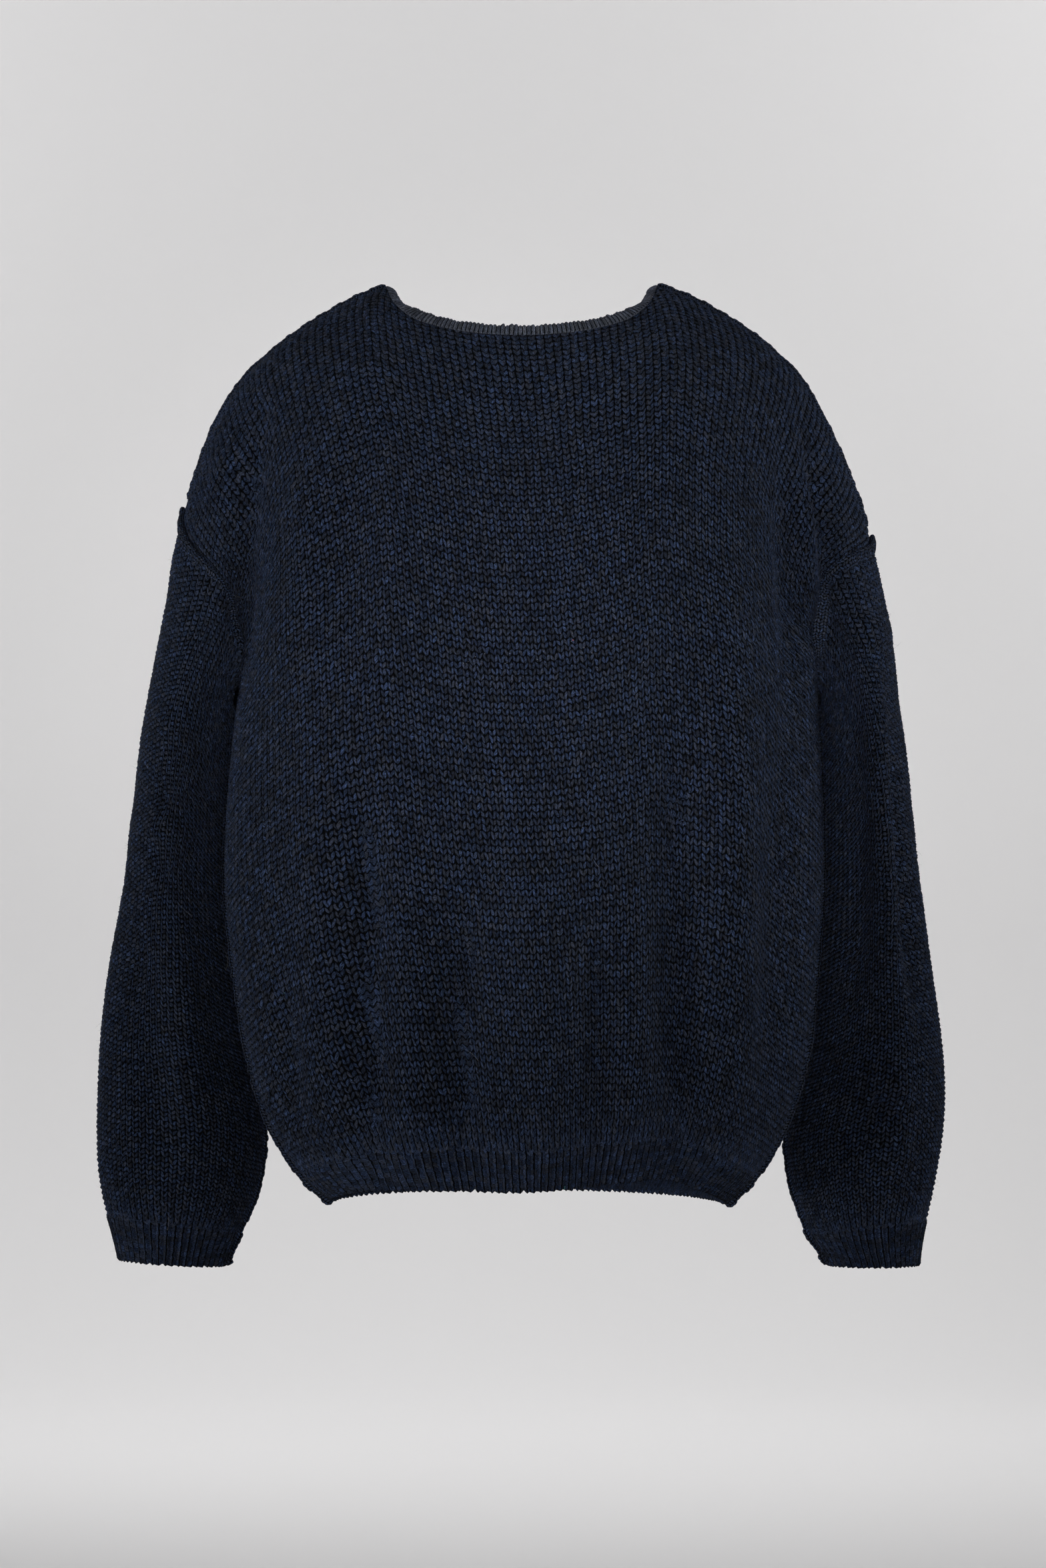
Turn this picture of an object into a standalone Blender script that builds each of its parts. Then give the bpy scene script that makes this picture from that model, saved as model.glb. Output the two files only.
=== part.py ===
"""A V-neck sweater in the form it has when worn, hollow, with nobody inside.

Metres, +Z up. The front faces -Y, and +X is the wearer's left. The origin is the point
between the two neck points that the wearer's shoulders carry.

Every panel is a wall of one thickness. Its outer face lies on one smooth worn form, which is
the union of a body oval and two arm ovals whose sizes change with height.
"""
import bpy
import numpy as np

WALL = 0.003            # thickness of the chunky knitted cloth
SEAM_GAP = 0.0003       # space between two pieces at a seam
LIFT = 0.0009           # space between a seam ridge and the cloth under it

# Body oval by height. Left and right are half-widths, back and front are depths from the
# side seams, and power is the roundness: 2 is an ellipse, less is pointed, more is boxy.
BODY_COLUMNS = ("height", "left", "right", "back", "front", "power")
BODY = (
    (0.030, 0.030, 0.030, 0.004, 0.004, 2.00),
    (0.018, 0.064, 0.064, 0.016, 0.016, 2.00),
    (0.006, 0.097, 0.099, 0.034, 0.032, 2.00),
    (-0.005, 0.125, 0.128, 0.052, 0.048, 2.00),
    (-0.015, 0.143, 0.146, 0.064, 0.060, 2.02),
    (-0.030, 0.1665, 0.1695, 0.078, 0.074, 2.08),
    (-0.050, 0.190, 0.1915, 0.092, 0.090, 2.20),
    (-0.075, 0.200, 0.200, 0.104, 0.104, 2.35),
    (-0.110, 0.201, 0.203, 0.113, 0.114, 2.50),
    (-0.160, 0.204, 0.209, 0.119, 0.121, 2.55),
    (-0.220, 0.205, 0.214, 0.122, 0.125, 2.55),
    (-0.300, 0.209, 0.217, 0.123, 0.127, 2.50),
    (-0.380, 0.216, 0.221, 0.124, 0.128, 2.45),
    (-0.440, 0.217, 0.221, 0.124, 0.128, 2.40),
    (-0.500, 0.210, 0.216, 0.122, 0.126, 2.35),
    (-0.550, 0.202, 0.211, 0.118, 0.122, 2.25),
    (-0.590, 0.192, 0.201, 0.113, 0.117, 2.15),
    (-0.620, 0.180, 0.189, 0.108, 0.111, 2.00),
    (-0.640, 0.167, 0.177, 0.103, 0.105, 1.88),
    (-0.655, 0.153, 0.164, 0.098, 0.099, 1.78),
    (-0.670, 0.133, 0.147, 0.092, 0.092, 1.70),
    (-0.690, 0.105, 0.120, 0.084, 0.084, 1.70),
)

# Arm ovals by height. Outer and inner are the distances of the two sides from the middle
# plane, centre is the depth of the middle, and half_depth is measured each way from it.
ARM_COLUMNS = ("height", "outer", "inner", "centre", "half_depth", "power")
ARM_LEFT = (
    (-0.030, 0.150, 0.090, 0.000, 0.020, 2.0),
    (-0.058, 0.196, 0.100, 0.000, 0.036, 2.0),
    (-0.088, 0.2205, 0.110, -0.002, 0.049, 2.0),
    (-0.127, 0.2365, 0.120, -0.004, 0.057, 2.1),
    (-0.160, 0.2475, 0.132, -0.007, 0.062, 2.1),
    (-0.190, 0.2555, 0.148, -0.011, 0.066, 2.2),
    (-0.225, 0.2612, 0.170, -0.017, 0.070, 2.2),
    (-0.265, 0.2695, 0.195, -0.026, 0.072, 2.2),
    (-0.300, 0.2765, 0.2125, -0.034, 0.073, 2.2),
    (-0.330, 0.2815, 0.2158, -0.040, 0.073, 2.2),
    (-0.380, 0.2885, 0.2202, -0.045, 0.071, 2.2),
    (-0.440, 0.2980, 0.2212, -0.050, 0.066, 2.2),
    (-0.500, 0.3078, 0.2145, -0.054, 0.059, 2.2),
    (-0.550, 0.3130, 0.2065, -0.057, 0.053, 2.2),
    (-0.590, 0.3150, 0.1965, -0.059, 0.049, 2.2),
    (-0.620, 0.3157, 0.1925, -0.061, 0.046, 2.2),
    (-0.650, 0.3145, 0.1950, -0.063, 0.043, 2.1),
    (-0.675, 0.3100, 0.2030, -0.065, 0.039, 2.1),
    (-0.695, 0.3045, 0.2120, -0.066, 0.035, 2.0),
    (-0.712, 0.3005, 0.2190, -0.067, 0.032, 2.0),
    (-0.730, 0.2980, 0.2240, -0.067, 0.031, 2.0),
)
ARM_RIGHT = (
    (-0.030, 0.152, 0.090, 0.000, 0.020, 2.0),
    (-0.058, 0.197, 0.100, 0.000, 0.036, 2.0),
    (-0.088, 0.2190, 0.110, -0.002, 0.049, 2.0),
    (-0.127, 0.2375, 0.120, -0.004, 0.057, 2.1),
    (-0.160, 0.2500, 0.134, -0.007, 0.062, 2.1),
    (-0.190, 0.2590, 0.152, -0.011, 0.066, 2.2),
    (-0.225, 0.2671, 0.176, -0.017, 0.070, 2.2),
    (-0.265, 0.2740, 0.203, -0.026, 0.072, 2.2),
    (-0.300, 0.2790, 0.2205, -0.034, 0.073, 2.2),
    (-0.330, 0.2840, 0.2232, -0.040, 0.072, 2.2),
    (-0.380, 0.2903, 0.2252, -0.045, 0.070, 2.2),
    (-0.440, 0.2985, 0.2252, -0.050, 0.066, 2.2),
    (-0.500, 0.3060, 0.2204, -0.054, 0.060, 2.2),
    (-0.550, 0.3120, 0.2154, -0.057, 0.054, 2.2),
    (-0.590, 0.3145, 0.2055, -0.059, 0.049, 2.2),
    (-0.620, 0.3130, 0.1980, -0.061, 0.046, 2.2),
    (-0.650, 0.3085, 0.2000, -0.063, 0.043, 2.1),
    (-0.675, 0.3035, 0.2075, -0.065, 0.039, 2.1),
    (-0.695, 0.2990, 0.2150, -0.066, 0.035, 2.0),
    (-0.712, 0.2965, 0.2260, -0.067, 0.032, 2.0),
    (-0.730, 0.2960, 0.2300, -0.067, 0.031, 2.0),
)

# How softly the arms run into the body, by height. It fades out at the underarm, below
# which the sleeves hang clear of the body.
BLEND = ((-0.03, 0.010), (-0.08, 0.022), (-0.14, 0.030), (-0.20, 0.026), (-0.25, 0.014),
         (-0.30, 0.005))

UNDERARM_HEIGHT = -0.300
FOLD_LENGTH = 0.100             # how far up the armhole the underarm fold is deep
ARM_TOP = -0.030

# Seam lines on the form. The armhole and neck tables give width from the middle and height.
NECK_POINT = (0.0995, 0.002)                  # width and height of each neck point
SHOULDER = {                                   # heights down the shoulder, over the arm
    "left": (-0.008, -0.022, -0.045, -0.075, -0.110, -0.159),
    "right": (-0.008, -0.022, -0.045, -0.075, -0.115, -0.180),
}
ARMHOLE = {
    "left": ((0.2430, -0.186), (0.2330, -0.198), (0.2220, -0.209), (0.2130, -0.225),
             (0.2070, -0.248)),
    "right": ((0.2530, -0.188), (0.2400, -0.194), (0.2280, -0.204), (0.2190, -0.222),
              (0.2130, -0.248)),
}
UNDERARM_WIDTH = {"left": 0.2122, "right": 0.2200}
BACK_NECK = ((0.090, -0.012), (0.078, -0.0215), (0.062, -0.0275), (0.040, -0.0320),
             (0.018, -0.0340), (0.000, -0.0345))
V_NECK = ((0.096, -0.014), (0.0875, -0.040), (0.074, -0.076), (0.055, -0.115),
          (0.031, -0.152), (0.000, -0.190))
HEM_BACK = (-0.6664, -0.6620, -0.6563, -0.6539, -0.6538, -0.6535, -0.6499, -0.6444, -0.6549,
            -0.6634, -0.6684)                 # heights from the left side seam to the right
HEM_FRONT = (-0.6664, -0.6655, -0.6645, -0.6640, -0.6640, -0.6640, -0.6640, -0.6645, -0.6655,
             -0.6672, -0.6684)
UNDERARM_DEPTH = -0.020                        # the side seam starts here, and ends at zero
CUFF = {"left": (-0.7140, -0.7185), "right": (-0.7180, -0.7180)}   # outer and inner edge

# Grid of each panel: columns across, rows up the side seam and rows up the armhole.
ACROSS = 24
UP_SIDE = 14
UP_ARMHOLE = 10
NECK_COLUMNS = 8
SLEEVE_ROWS = 19

# Seam ridges: how far the ridge reaches on each side of the seam, and its height.
RIDGES = {
    "shoulder": (0.0035, 0.0035, 0.0030),
    "armhole": (0.0020, 0.0080, 0.0035),
    "side": (0.0035, 0.0035, 0.0028),
    "sleeve": (0.0035, 0.0035, 0.0028),
}
RIDGE_TOP = 0.65                               # width of a ridge's top over its foot
BAND_HEIGHT = 0.0085
BAND_THICKNESS = 0.0034
BAND_PROUD = 0.0003
# How far the ridges stop short of each other and of the open edges.
CLEAR = {"armhole": 0.006, "neck": 0.002, "underarm": 0.022, "hem": 0.0005}
HIDDEN_ARMHOLE_ROWS = 3                        # the armhole ridge ends here, in the fold

# Heathered navy yarn as each kind of piece shows it, by the first word of the piece's name.
# The neckband and the ridges stand in more light and look paler.
YARN = {
    "back": (0.0130, 0.0165, 0.0290),
    "front": (0.0130, 0.0165, 0.0290),
    "sleeve": (0.0105, 0.0135, 0.0240),
    "neckband": (0.0360, 0.0410, 0.0550),
    "shoulder": (0.0200, 0.0240, 0.0370),
    "armhole": (0.0180, 0.0215, 0.0340),
    "side": (0.0160, 0.0195, 0.0310),
}
YARN_ROUGHNESS = 0.95
SHARP_ANGLE = np.radians(50)                   # edges bent more than this stay sharp


# ---------------------------------------------------------------- the worn form

def smooth_column(rows, z):
    """Read each column of a table at heights z, with a smooth curve through the rows."""
    rows = np.array(rows, float)
    rows = rows[np.argsort(rows[:, 0])]
    heights, values = rows[:, 0], rows[:, 1:]
    slopes = np.gradient(values, heights, axis=0)
    z = np.clip(z, heights[0], heights[-1])
    i = np.clip(np.searchsorted(heights, z) - 1, 0, len(heights) - 2)
    width = heights[i + 1] - heights[i]
    t = ((z - heights[i]) / width)[..., None]
    width = width[..., None]
    return (values[i] * (1 + 2 * t) * (1 - t) ** 2 + slopes[i] * width * t * (1 - t) ** 2
            + values[i + 1] * t * t * (3 - 2 * t) - slopes[i + 1] * width * t * t * (1 - t))


def oval_distance(x, y, half_x, half_y, power):
    """Distance from an oval's edge along the ray from its centre, negative inside."""
    reach = np.hypot(x, y) + 1e-9
    ratio = (np.abs(x / half_x) ** power + np.abs(y / half_y) ** power) ** (1 / power) + 1e-9
    return reach - reach / ratio


def body_field(p):
    left, right, back, front, power = np.moveaxis(smooth_column(BODY, p[..., 2]), -1, 0)
    half_x = np.where(p[..., 0] > 0, left, right)
    half_y = np.where(p[..., 1] > 0, back, front)
    above = 2 * np.maximum(0, p[..., 2] - BODY[0][0])
    return oval_distance(p[..., 0], p[..., 1], half_x, half_y, power) + above


def arm_field(p, side):
    table, sign = (ARM_LEFT, 1) if side == "left" else (ARM_RIGHT, -1)
    outer, inner, centre, half_y, power = np.moveaxis(smooth_column(table, p[..., 2]), -1, 0)
    x = sign * p[..., 0] - (outer + inner) / 2
    above = 2 * np.maximum(0, p[..., 2] - ARM_TOP)
    return oval_distance(x, p[..., 1] - centre, (outer - inner) / 2, half_y, power) + above


def worn_field(p):
    """Body and arms as one soft union."""
    body = body_field(p)
    arms = np.minimum(arm_field(p, "left"), arm_field(p, "right"))
    soft = smooth_column(BLEND, p[..., 2])[..., 0]
    share = np.clip(0.5 + 0.5 * (arms - body) / soft, 0, 1)
    return arms * (1 - share) + body * share - soft * share * (1 - share)


def panel_field(p):
    return np.where(p[..., 2] < UNDERARM_HEIGHT, body_field(p), worn_field(p))


def sleeve_field(side):
    def field(p):
        return np.where(p[..., 2] < UNDERARM_HEIGHT, arm_field(p, side), worn_field(p))
    return field


def gradient(field, p, step=2e-4):
    parts = []
    for axis in range(3):
        shift = np.zeros(3)
        shift[axis] = step
        parts.append((field(p + shift) - field(p - shift)) / (2 * step))
    return np.stack(parts, -1)


def unit(v):
    return v / np.maximum(np.linalg.norm(v, axis=-1, keepdims=True), 1e-9)


def outward(field, p):
    return unit(gradient(field, p))


def fold_normals(field, p):
    """Normals for the armhole line, turned down where it runs deep in the underarm fold."""
    normals = outward(field, p)
    share = np.clip((p[..., 2] - UNDERARM_HEIGHT) / FOLD_LENGTH, 0, 1)
    normals[..., 0] *= share
    return unit(normals)


def onto(field, p, rounds=6):
    """Move points along the slope of the field until they lie on its surface."""
    for _ in range(rounds):
        g = gradient(field, p)
        move = field(p)[..., None] * g / np.maximum((g * g).sum(-1, keepdims=True), 1e-6)
        length = np.linalg.norm(move, axis=-1, keepdims=True)
        p = p - move * np.minimum(1, 0.02 / np.maximum(length, 1e-9))
    return p


def first_hit(field, start, direction, length=0.4):
    """The first point of the surface on a ray that starts outside it."""
    start, direction = np.array(start, float), np.array(direction, float)
    distances = np.linspace(0, length, 801)
    inside = field(start + distances[:, None] * direction) < 0
    k = int(np.argmax(inside))
    low, high = distances[k - 1], distances[k]
    for _ in range(30):
        middle = (low + high) / 2
        if field((start + middle * direction)[None])[0] < 0:
            high = middle
        else:
            low = middle
    return start + high * direction


# ---------------------------------------------------------------- seam lines

def resample(points, count):
    """Points at equal lengths along a line of points."""
    points = np.asarray(points, float)
    run = np.r_[0, np.cumsum(np.linalg.norm(np.diff(points, axis=0), axis=1))]
    at = np.linspace(0, run[-1], count + 1)
    return np.stack([np.interp(at, run, points[:, k]) for k in range(3)], -1)


def line_on(field, stops, count):
    """A smooth line through the stops, laid on the surface, in count equal steps."""
    stops = np.asarray(stops, float)
    run = np.r_[0, np.cumsum(np.linalg.norm(np.diff(stops, axis=0), axis=1))]
    rows = np.column_stack([run, stops])
    dense = smooth_column(rows, np.linspace(0, run[-1], 24 * count + 1))
    ends = dense[[0, -1]].copy()
    dense = onto(field, dense)
    dense[[0, -1]] = ends
    return resample(dense, count)


def sign_of(side):
    return 1 if side == "left" else -1


def neck_point(side):
    width, height = NECK_POINT
    return first_hit(worn_field, (sign_of(side) * width, 0, height + 0.1), (0, 0, -1))


def shoulder_tip(side):
    return first_hit(worn_field, (sign_of(side) * 0.4, -0.006, SHOULDER[side][-1]),
                     (-sign_of(side), 0, 0))


def underarm(side):
    start = (sign_of(side) * UNDERARM_WIDTH[side], UNDERARM_DEPTH, UNDERARM_HEIGHT - 0.03)
    hit = first_hit(worn_field, start, (0, 0, 1), 0.12)
    return hit


def shoulder_line(side, count):
    stops = [neck_point(side)]
    for height in SHOULDER[side][:-1]:
        stops.append(first_hit(worn_field, (sign_of(side) * 0.4, -0.002, height),
                               (-sign_of(side), 0, 0)))
    stops.append(shoulder_tip(side))
    return line_on(worn_field, stops, count)


def armhole_line(side, face, count):
    """From the underarm up one face of the garment to the shoulder tip."""
    stops = [underarm(side)]
    for width, height in reversed(ARMHOLE[side]):
        stops.append(first_hit(worn_field, (sign_of(side) * width, face * 0.3, height),
                               (0, -face, 0)))
    stops.append(shoulder_tip(side))
    return line_on(worn_field, stops, count)


def neck_line(face, count):
    """Across the neck edge of one face, from the left neck point to the right."""
    table = BACK_NECK if face > 0 else V_NECK
    half = [neck_point("left")]
    for width, height in table:
        half.append(first_hit(worn_field, (width, face * 0.3, height), (0, -face, 0)))
    other = [neck_point("right")]
    for width, height in table[:-1]:
        other.append(first_hit(worn_field, (-width, face * 0.3, height), (0, -face, 0)))
    left = line_on(worn_field, half, count // 2)
    right = line_on(worn_field, other + [half[-1]], count // 2)
    return np.vstack([left, right[::-1][1:]])


def hem_line(face, count):
    heights = HEM_BACK if face > 0 else HEM_FRONT
    turn = np.linspace(0, np.pi, 400)
    z = np.interp(turn, np.linspace(0, np.pi, len(heights)), heights)
    left, right, back, front, power = smooth_column(BODY, z).T
    c, s = np.cos(turn), np.sin(turn)
    x = np.where(c > 0, left, right) * np.sign(c) * np.abs(c) ** (2 / power)
    y = face * np.where(face > 0, back, front) * np.abs(s) ** (2 / power)
    return resample(np.stack([x, y, z], -1), count)


def side_line(side, count):
    """From the hem up the side seam to the underarm."""
    foot = HEM_BACK[0] if side == "left" else HEM_BACK[-1]
    z = np.linspace(foot, UNDERARM_HEIGHT - 0.012, 200)
    y = UNDERARM_DEPTH * (z - foot) / (UNDERARM_HEIGHT - foot)
    column = 0 if side == "left" else 1
    x = sign_of(side) * smooth_column(BODY, z)[:, column]
    line = onto(body_field, np.stack([x, y, z], -1))
    line[0] = (x[0], 0, foot)
    return resample(np.vstack([line, underarm(side)]), count)


# ---------------------------------------------------------------- grids on the form

def relax(plain, grid, field, rounds, closed=False):
    """Even out how far a grid on the form has moved from its plain version."""
    for _ in range(rounds):
        move = grid - plain
        if closed:
            across = np.roll(move, 1, 0) + np.roll(move, -1, 0)
            mean = (across[:, 1:-1] + move[:, :-2] + move[:, 2:]) / 4
            grid[:, 1:-1] = onto(field, plain[:, 1:-1] + mean, 1)
        else:
            mean = (move[:-2, 1:-1] + move[2:, 1:-1] + move[1:-1, :-2] + move[1:-1, 2:]) / 4
            grid[1:-1, 1:-1] = onto(field, plain[1:-1, 1:-1] + mean, 1)
    return grid


def panel_grid(face):
    """Points of the front or back panel, left to right and hem to shoulder."""
    shoulder_columns = (ACROSS - NECK_COLUMNS) // 2
    sides = {}
    tops = {}
    for side in ("left", "right"):
        sides[side] = np.vstack([side_line(side, UP_SIDE),
                                 armhole_line(side, face, UP_ARMHOLE)[1:]])
        tops[side] = shoulder_line(side, shoulder_columns)[::-1]
    neck = neck_line(face, NECK_COLUMNS)
    top = np.vstack([tops["left"][:-1], neck, tops["right"][::-1][1:]])
    hem = hem_line(face, ACROSS)
    rows = UP_SIDE + UP_ARMHOLE
    s = np.linspace(0, 1, ACROSS + 1)[:, None, None]
    t = np.linspace(0, 1, rows + 1)[None, :, None]
    left, right = sides["left"][None], sides["right"][None]
    hem_b, top_b = hem[:, None], top[:, None]
    corners = ((1 - s) * (1 - t) * hem[0] + s * (1 - t) * hem[-1]
               + (1 - s) * t * top[0] + s * t * top[-1])
    plain = (1 - s) * left + s * right + (1 - t) * hem_b + t * top_b - corners
    grid = plain.copy()
    grid[1:-1, 1:-1, 1] += face * 0.08 * (np.sin(np.pi * s) ** 0.5)[1:-1, :, 0]
    grid[1:-1, 1:-1] = onto(panel_field, grid[1:-1, 1:-1], 12)
    return relax(plain, grid, panel_field, 150)


def sleeve_grid(side):
    """Points of a sleeve, round it from the shoulder tip and down to the cuff."""
    back = armhole_line(side, 1, UP_ARMHOLE)[::-1]
    front = armhole_line(side, -1, UP_ARMHOLE)
    loop = np.vstack([back, front[1:-1]])
    count = len(loop)
    turn = np.linspace(0, 2 * np.pi, count, endpoint=False)
    outer_end, inner_end = CUFF[side]
    end = outer_end + (inner_end - outer_end) * (1 - np.cos(turn)) / 2
    down = np.linspace(0, 1, SLEEVE_ROWS + 1)
    z = loop[:, 2:3] * (1 - down) + end[:, None] * down
    table = ARM_LEFT if side == "left" else ARM_RIGHT
    outer, inner, centre, half_y, power = np.moveaxis(smooth_column(table, z), -1, 0)
    c, s = np.cos(turn)[:, None], np.sin(turn)[:, None]
    x = (outer + inner) / 2 + (outer - inner) / 2 * np.sign(c) * np.abs(c) ** (2 / power)
    y = centre + half_y * np.sign(s) * np.abs(s) ** (2 / power)
    grid = np.stack([sign_of(side) * x, y, z], -1)
    field = sleeve_field(side)
    shift = (loop - grid[:, 0])[:, None] * np.maximum(0, 1 - 3 * down)[None, :, None]
    plain = grid + shift
    return relax(plain, onto(field, plain), field, 40, closed=True)


# ---------------------------------------------------------------- solids

def yarn(name):
    """The material of one piece."""
    material = bpy.data.materials.new(name + "_yarn")
    material.use_nodes = True
    shader = material.node_tree.nodes["Principled BSDF"]
    shader.inputs["Base Color"].default_value = (*YARN[name.split("_")[0]], 1)
    shader.inputs["Roughness"].default_value = YARN_ROUGHNESS
    shader.inputs["Metallic"].default_value = 0.0
    return material


def add_mesh(name, vertices, faces):
    """Make an object, with its faces turned outward."""
    volume = 0.0
    for face in faces:
        a = vertices[face[0]]
        for k in range(1, len(face) - 1):
            volume += np.dot(a, np.cross(vertices[face[k]], vertices[face[k + 1]]))
    if volume < 0:
        faces = [face[::-1] for face in faces]
    mesh = bpy.data.meshes.new(name)
    mesh.from_pydata([tuple(map(float, v)) for v in vertices], [], faces)
    mesh.shade_smooth()
    mesh.set_sharp_from_angle(angle=SHARP_ANGLE)
    mesh.materials.append(yarn(name))
    item = bpy.data.objects.new(name, mesh)
    bpy.context.collection.objects.link(item)


def square_to_edge(edge, normals, inside):
    """Unit directions in the surface, square to an edge, towards the points inside."""
    along = np.gradient(edge, axis=0)
    across = unit(np.cross(normals, along))
    return across * np.sign((across * (inside - edge)).sum(-1, keepdims=True))


def into_panel(grid, normals, closed):
    """Directions from the grid's edges into it, zero for the inner points.

    Deep in the underarm fold the pieces part straight sideways."""
    pull = np.zeros_like(grid)
    for row, inside in ((0, 1), (-1, -2)):
        if closed:
            ring = [np.vstack([g[-1:], g, g[:1]]) for g in (grid[:, row], normals[:, row],
                                                            grid[:, inside])]
            pull[:, row] += square_to_edge(*ring)[1:-1]
            continue
        pull[:, row] += square_to_edge(grid[:, row], normals[:, row], grid[:, inside])
        pull[row] += square_to_edge(grid[row], normals[row], grid[inside])
        corner = grid[row, UP_SIDE]
        pull[row, UP_SIDE:UP_SIDE + 2] = (-np.sign(corner[0]), 0, 0)
        pull[row, UP_SIDE, 1] = 2 * np.sign(grid[inside, UP_SIDE, 1] - corner[1])
    if closed:
        fold = slice(UP_ARMHOLE - 1, UP_ARMHOLE + 2)
        pull[fold, 0] = (np.sign(grid[0, 0, 0]), 0, 0)
    return pull


def panel_normals(grid):
    normals = outward(panel_field, grid)
    for edge in (0, -1):
        normals[edge, UP_SIDE:] = fold_normals(panel_field, grid[edge, UP_SIDE:])
    return normals


def sleeve_normals(grid, side):
    normals = outward(sleeve_field(side), grid)
    normals[:, 0] = fold_normals(panel_field, grid[:, 0])
    return normals


def wall(name, grid, normals, closed=False):
    """A panel of even thickness whose outer face is the grid."""
    outer = grid + into_panel(grid, normals, closed) * SEAM_GAP / 2
    inner = outer - normals * WALL
    columns, rows = grid.shape[:2]
    spans = columns if closed else columns - 1

    def at(i, j, layer):
        return layer * columns * rows + (i % columns) * rows + j

    faces = []
    heights = grid[..., 2].ravel()
    depth = columns * rows

    def rim(a, b):
        """Two triangles through the wall, split the same way as the next piece's rim."""
        if heights[a] < heights[b]:
            faces.extend([(a, a + depth, b + depth), (a, b + depth, b)])
        else:
            faces.extend([(a, a + depth, b), (a + depth, b + depth, b)])

    for i in range(spans):
        for j in range(rows - 1):
            faces.append((at(i, j, 0), at(i + 1, j, 0), at(i + 1, j + 1, 0), at(i, j + 1, 0)))
            faces.append((at(i, j, 1), at(i, j + 1, 1), at(i + 1, j + 1, 1), at(i + 1, j, 1)))
        rim(at(i, 0, 0), at(i + 1, 0, 0))
        rim(at(i + 1, rows - 1, 0), at(i, rows - 1, 0))
    if not closed:
        for j in range(rows - 1):
            rim(at(0, j + 1, 0), at(0, j, 0))
            rim(at(columns - 1, j, 0), at(columns - 1, j + 1, 0))
    add_mesh(name, np.vstack([outer.reshape(-1, 3), inner.reshape(-1, 3)]), faces)


def rod(name, rings, closed=False):
    """A solid through rings of points, with flat ends where it is open."""
    count, sides = len(rings), len(rings[0])
    faces = []
    for i in range(count if closed else count - 1):
        a, b = i * sides, ((i + 1) % count) * sides
        for k in range(sides):
            n = (k + 1) % sides
            faces.append((a + k, a + n, b + n, b + k))
    if not closed:
        faces.append(tuple(range(sides))[::-1])
        faces.append(tuple((count - 1) * sides + k for k in range(sides)))
    add_mesh(name, np.concatenate(rings), faces)


def shorten(start, end, line, *others):
    """Cut lengths off the two ends of a line and of the lists that go with it."""
    run = np.r_[0, np.cumsum(np.linalg.norm(np.diff(line, axis=0), axis=1))]
    inner = run[(run > start + 1e-3) & (run < run[-1] - end - 1e-3)]
    at = np.r_[start, inner, run[-1] - end]
    return [np.stack([np.interp(at, run, v[:, k]) for k in range(3)], -1)
            for v in (line,) + others]


def ridge(name, kind, line, side_a, side_b, normals, start, end):
    """A raised seam on two panels, made from the panels' own edge points moved out."""
    reach_a, reach_b, height = RIDGES[kind]
    parts = shorten(start, end, line, side_a, side_b, normals)
    rings = []
    for point, a, b, normal in zip(*parts):
        foot = point + normal * LIFT
        top = foot + normal * height
        rings.append(np.array([foot + a * reach_a, foot, foot + b * reach_b,
                               top + b * reach_b * RIDGE_TOP, top + a * reach_a * RIDGE_TOP]))
    rod(name, rings)


def neckband(back, front):
    """A strip standing on the neck edges, turned to a point at the V."""
    first = (ACROSS - NECK_COLUMNS) // 2
    columns = slice(first, first + NECK_COLUMNS + 1)
    loop = np.vstack([back[columns, -1], front[columns, -1][::-1][1:-1]])
    inside = np.vstack([back[columns, -2], front[columns, -2][::-1][1:-1]])
    normals = outward(panel_field, loop)
    along = unit(np.roll(loop, -1, 0) - np.roll(loop, 1, 0))
    rise = unit(np.cross(normals, along))
    rise *= np.sign(((loop - inside) * rise).sum(1, keepdims=True))
    tip = NECK_COLUMNS + NECK_COLUMNS // 2
    rise[tip] = (0, 0, 1)
    edge = unit(loop[tip + 1] - loop[tip])
    lengths = np.ones(len(loop))
    lengths[tip] = 1 / np.sqrt(1 - edge[2] ** 2)
    rings = []
    for point, normal, up, length in zip(loop, normals, rise, lengths):
        low = point + up * SEAM_GAP * 2 * length
        high = point + up * BAND_HEIGHT * length
        shoulder = point + up * BAND_HEIGHT * 0.8 * length
        rings.append(np.array([low + normal * BAND_PROUD, shoulder + normal * BAND_PROUD,
                               high - normal * BAND_THICKNESS / 2,
                               shoulder - normal * BAND_THICKNESS,
                               low - normal * BAND_THICKNESS]))
    rod("neckband", rings, closed=True)


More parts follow.
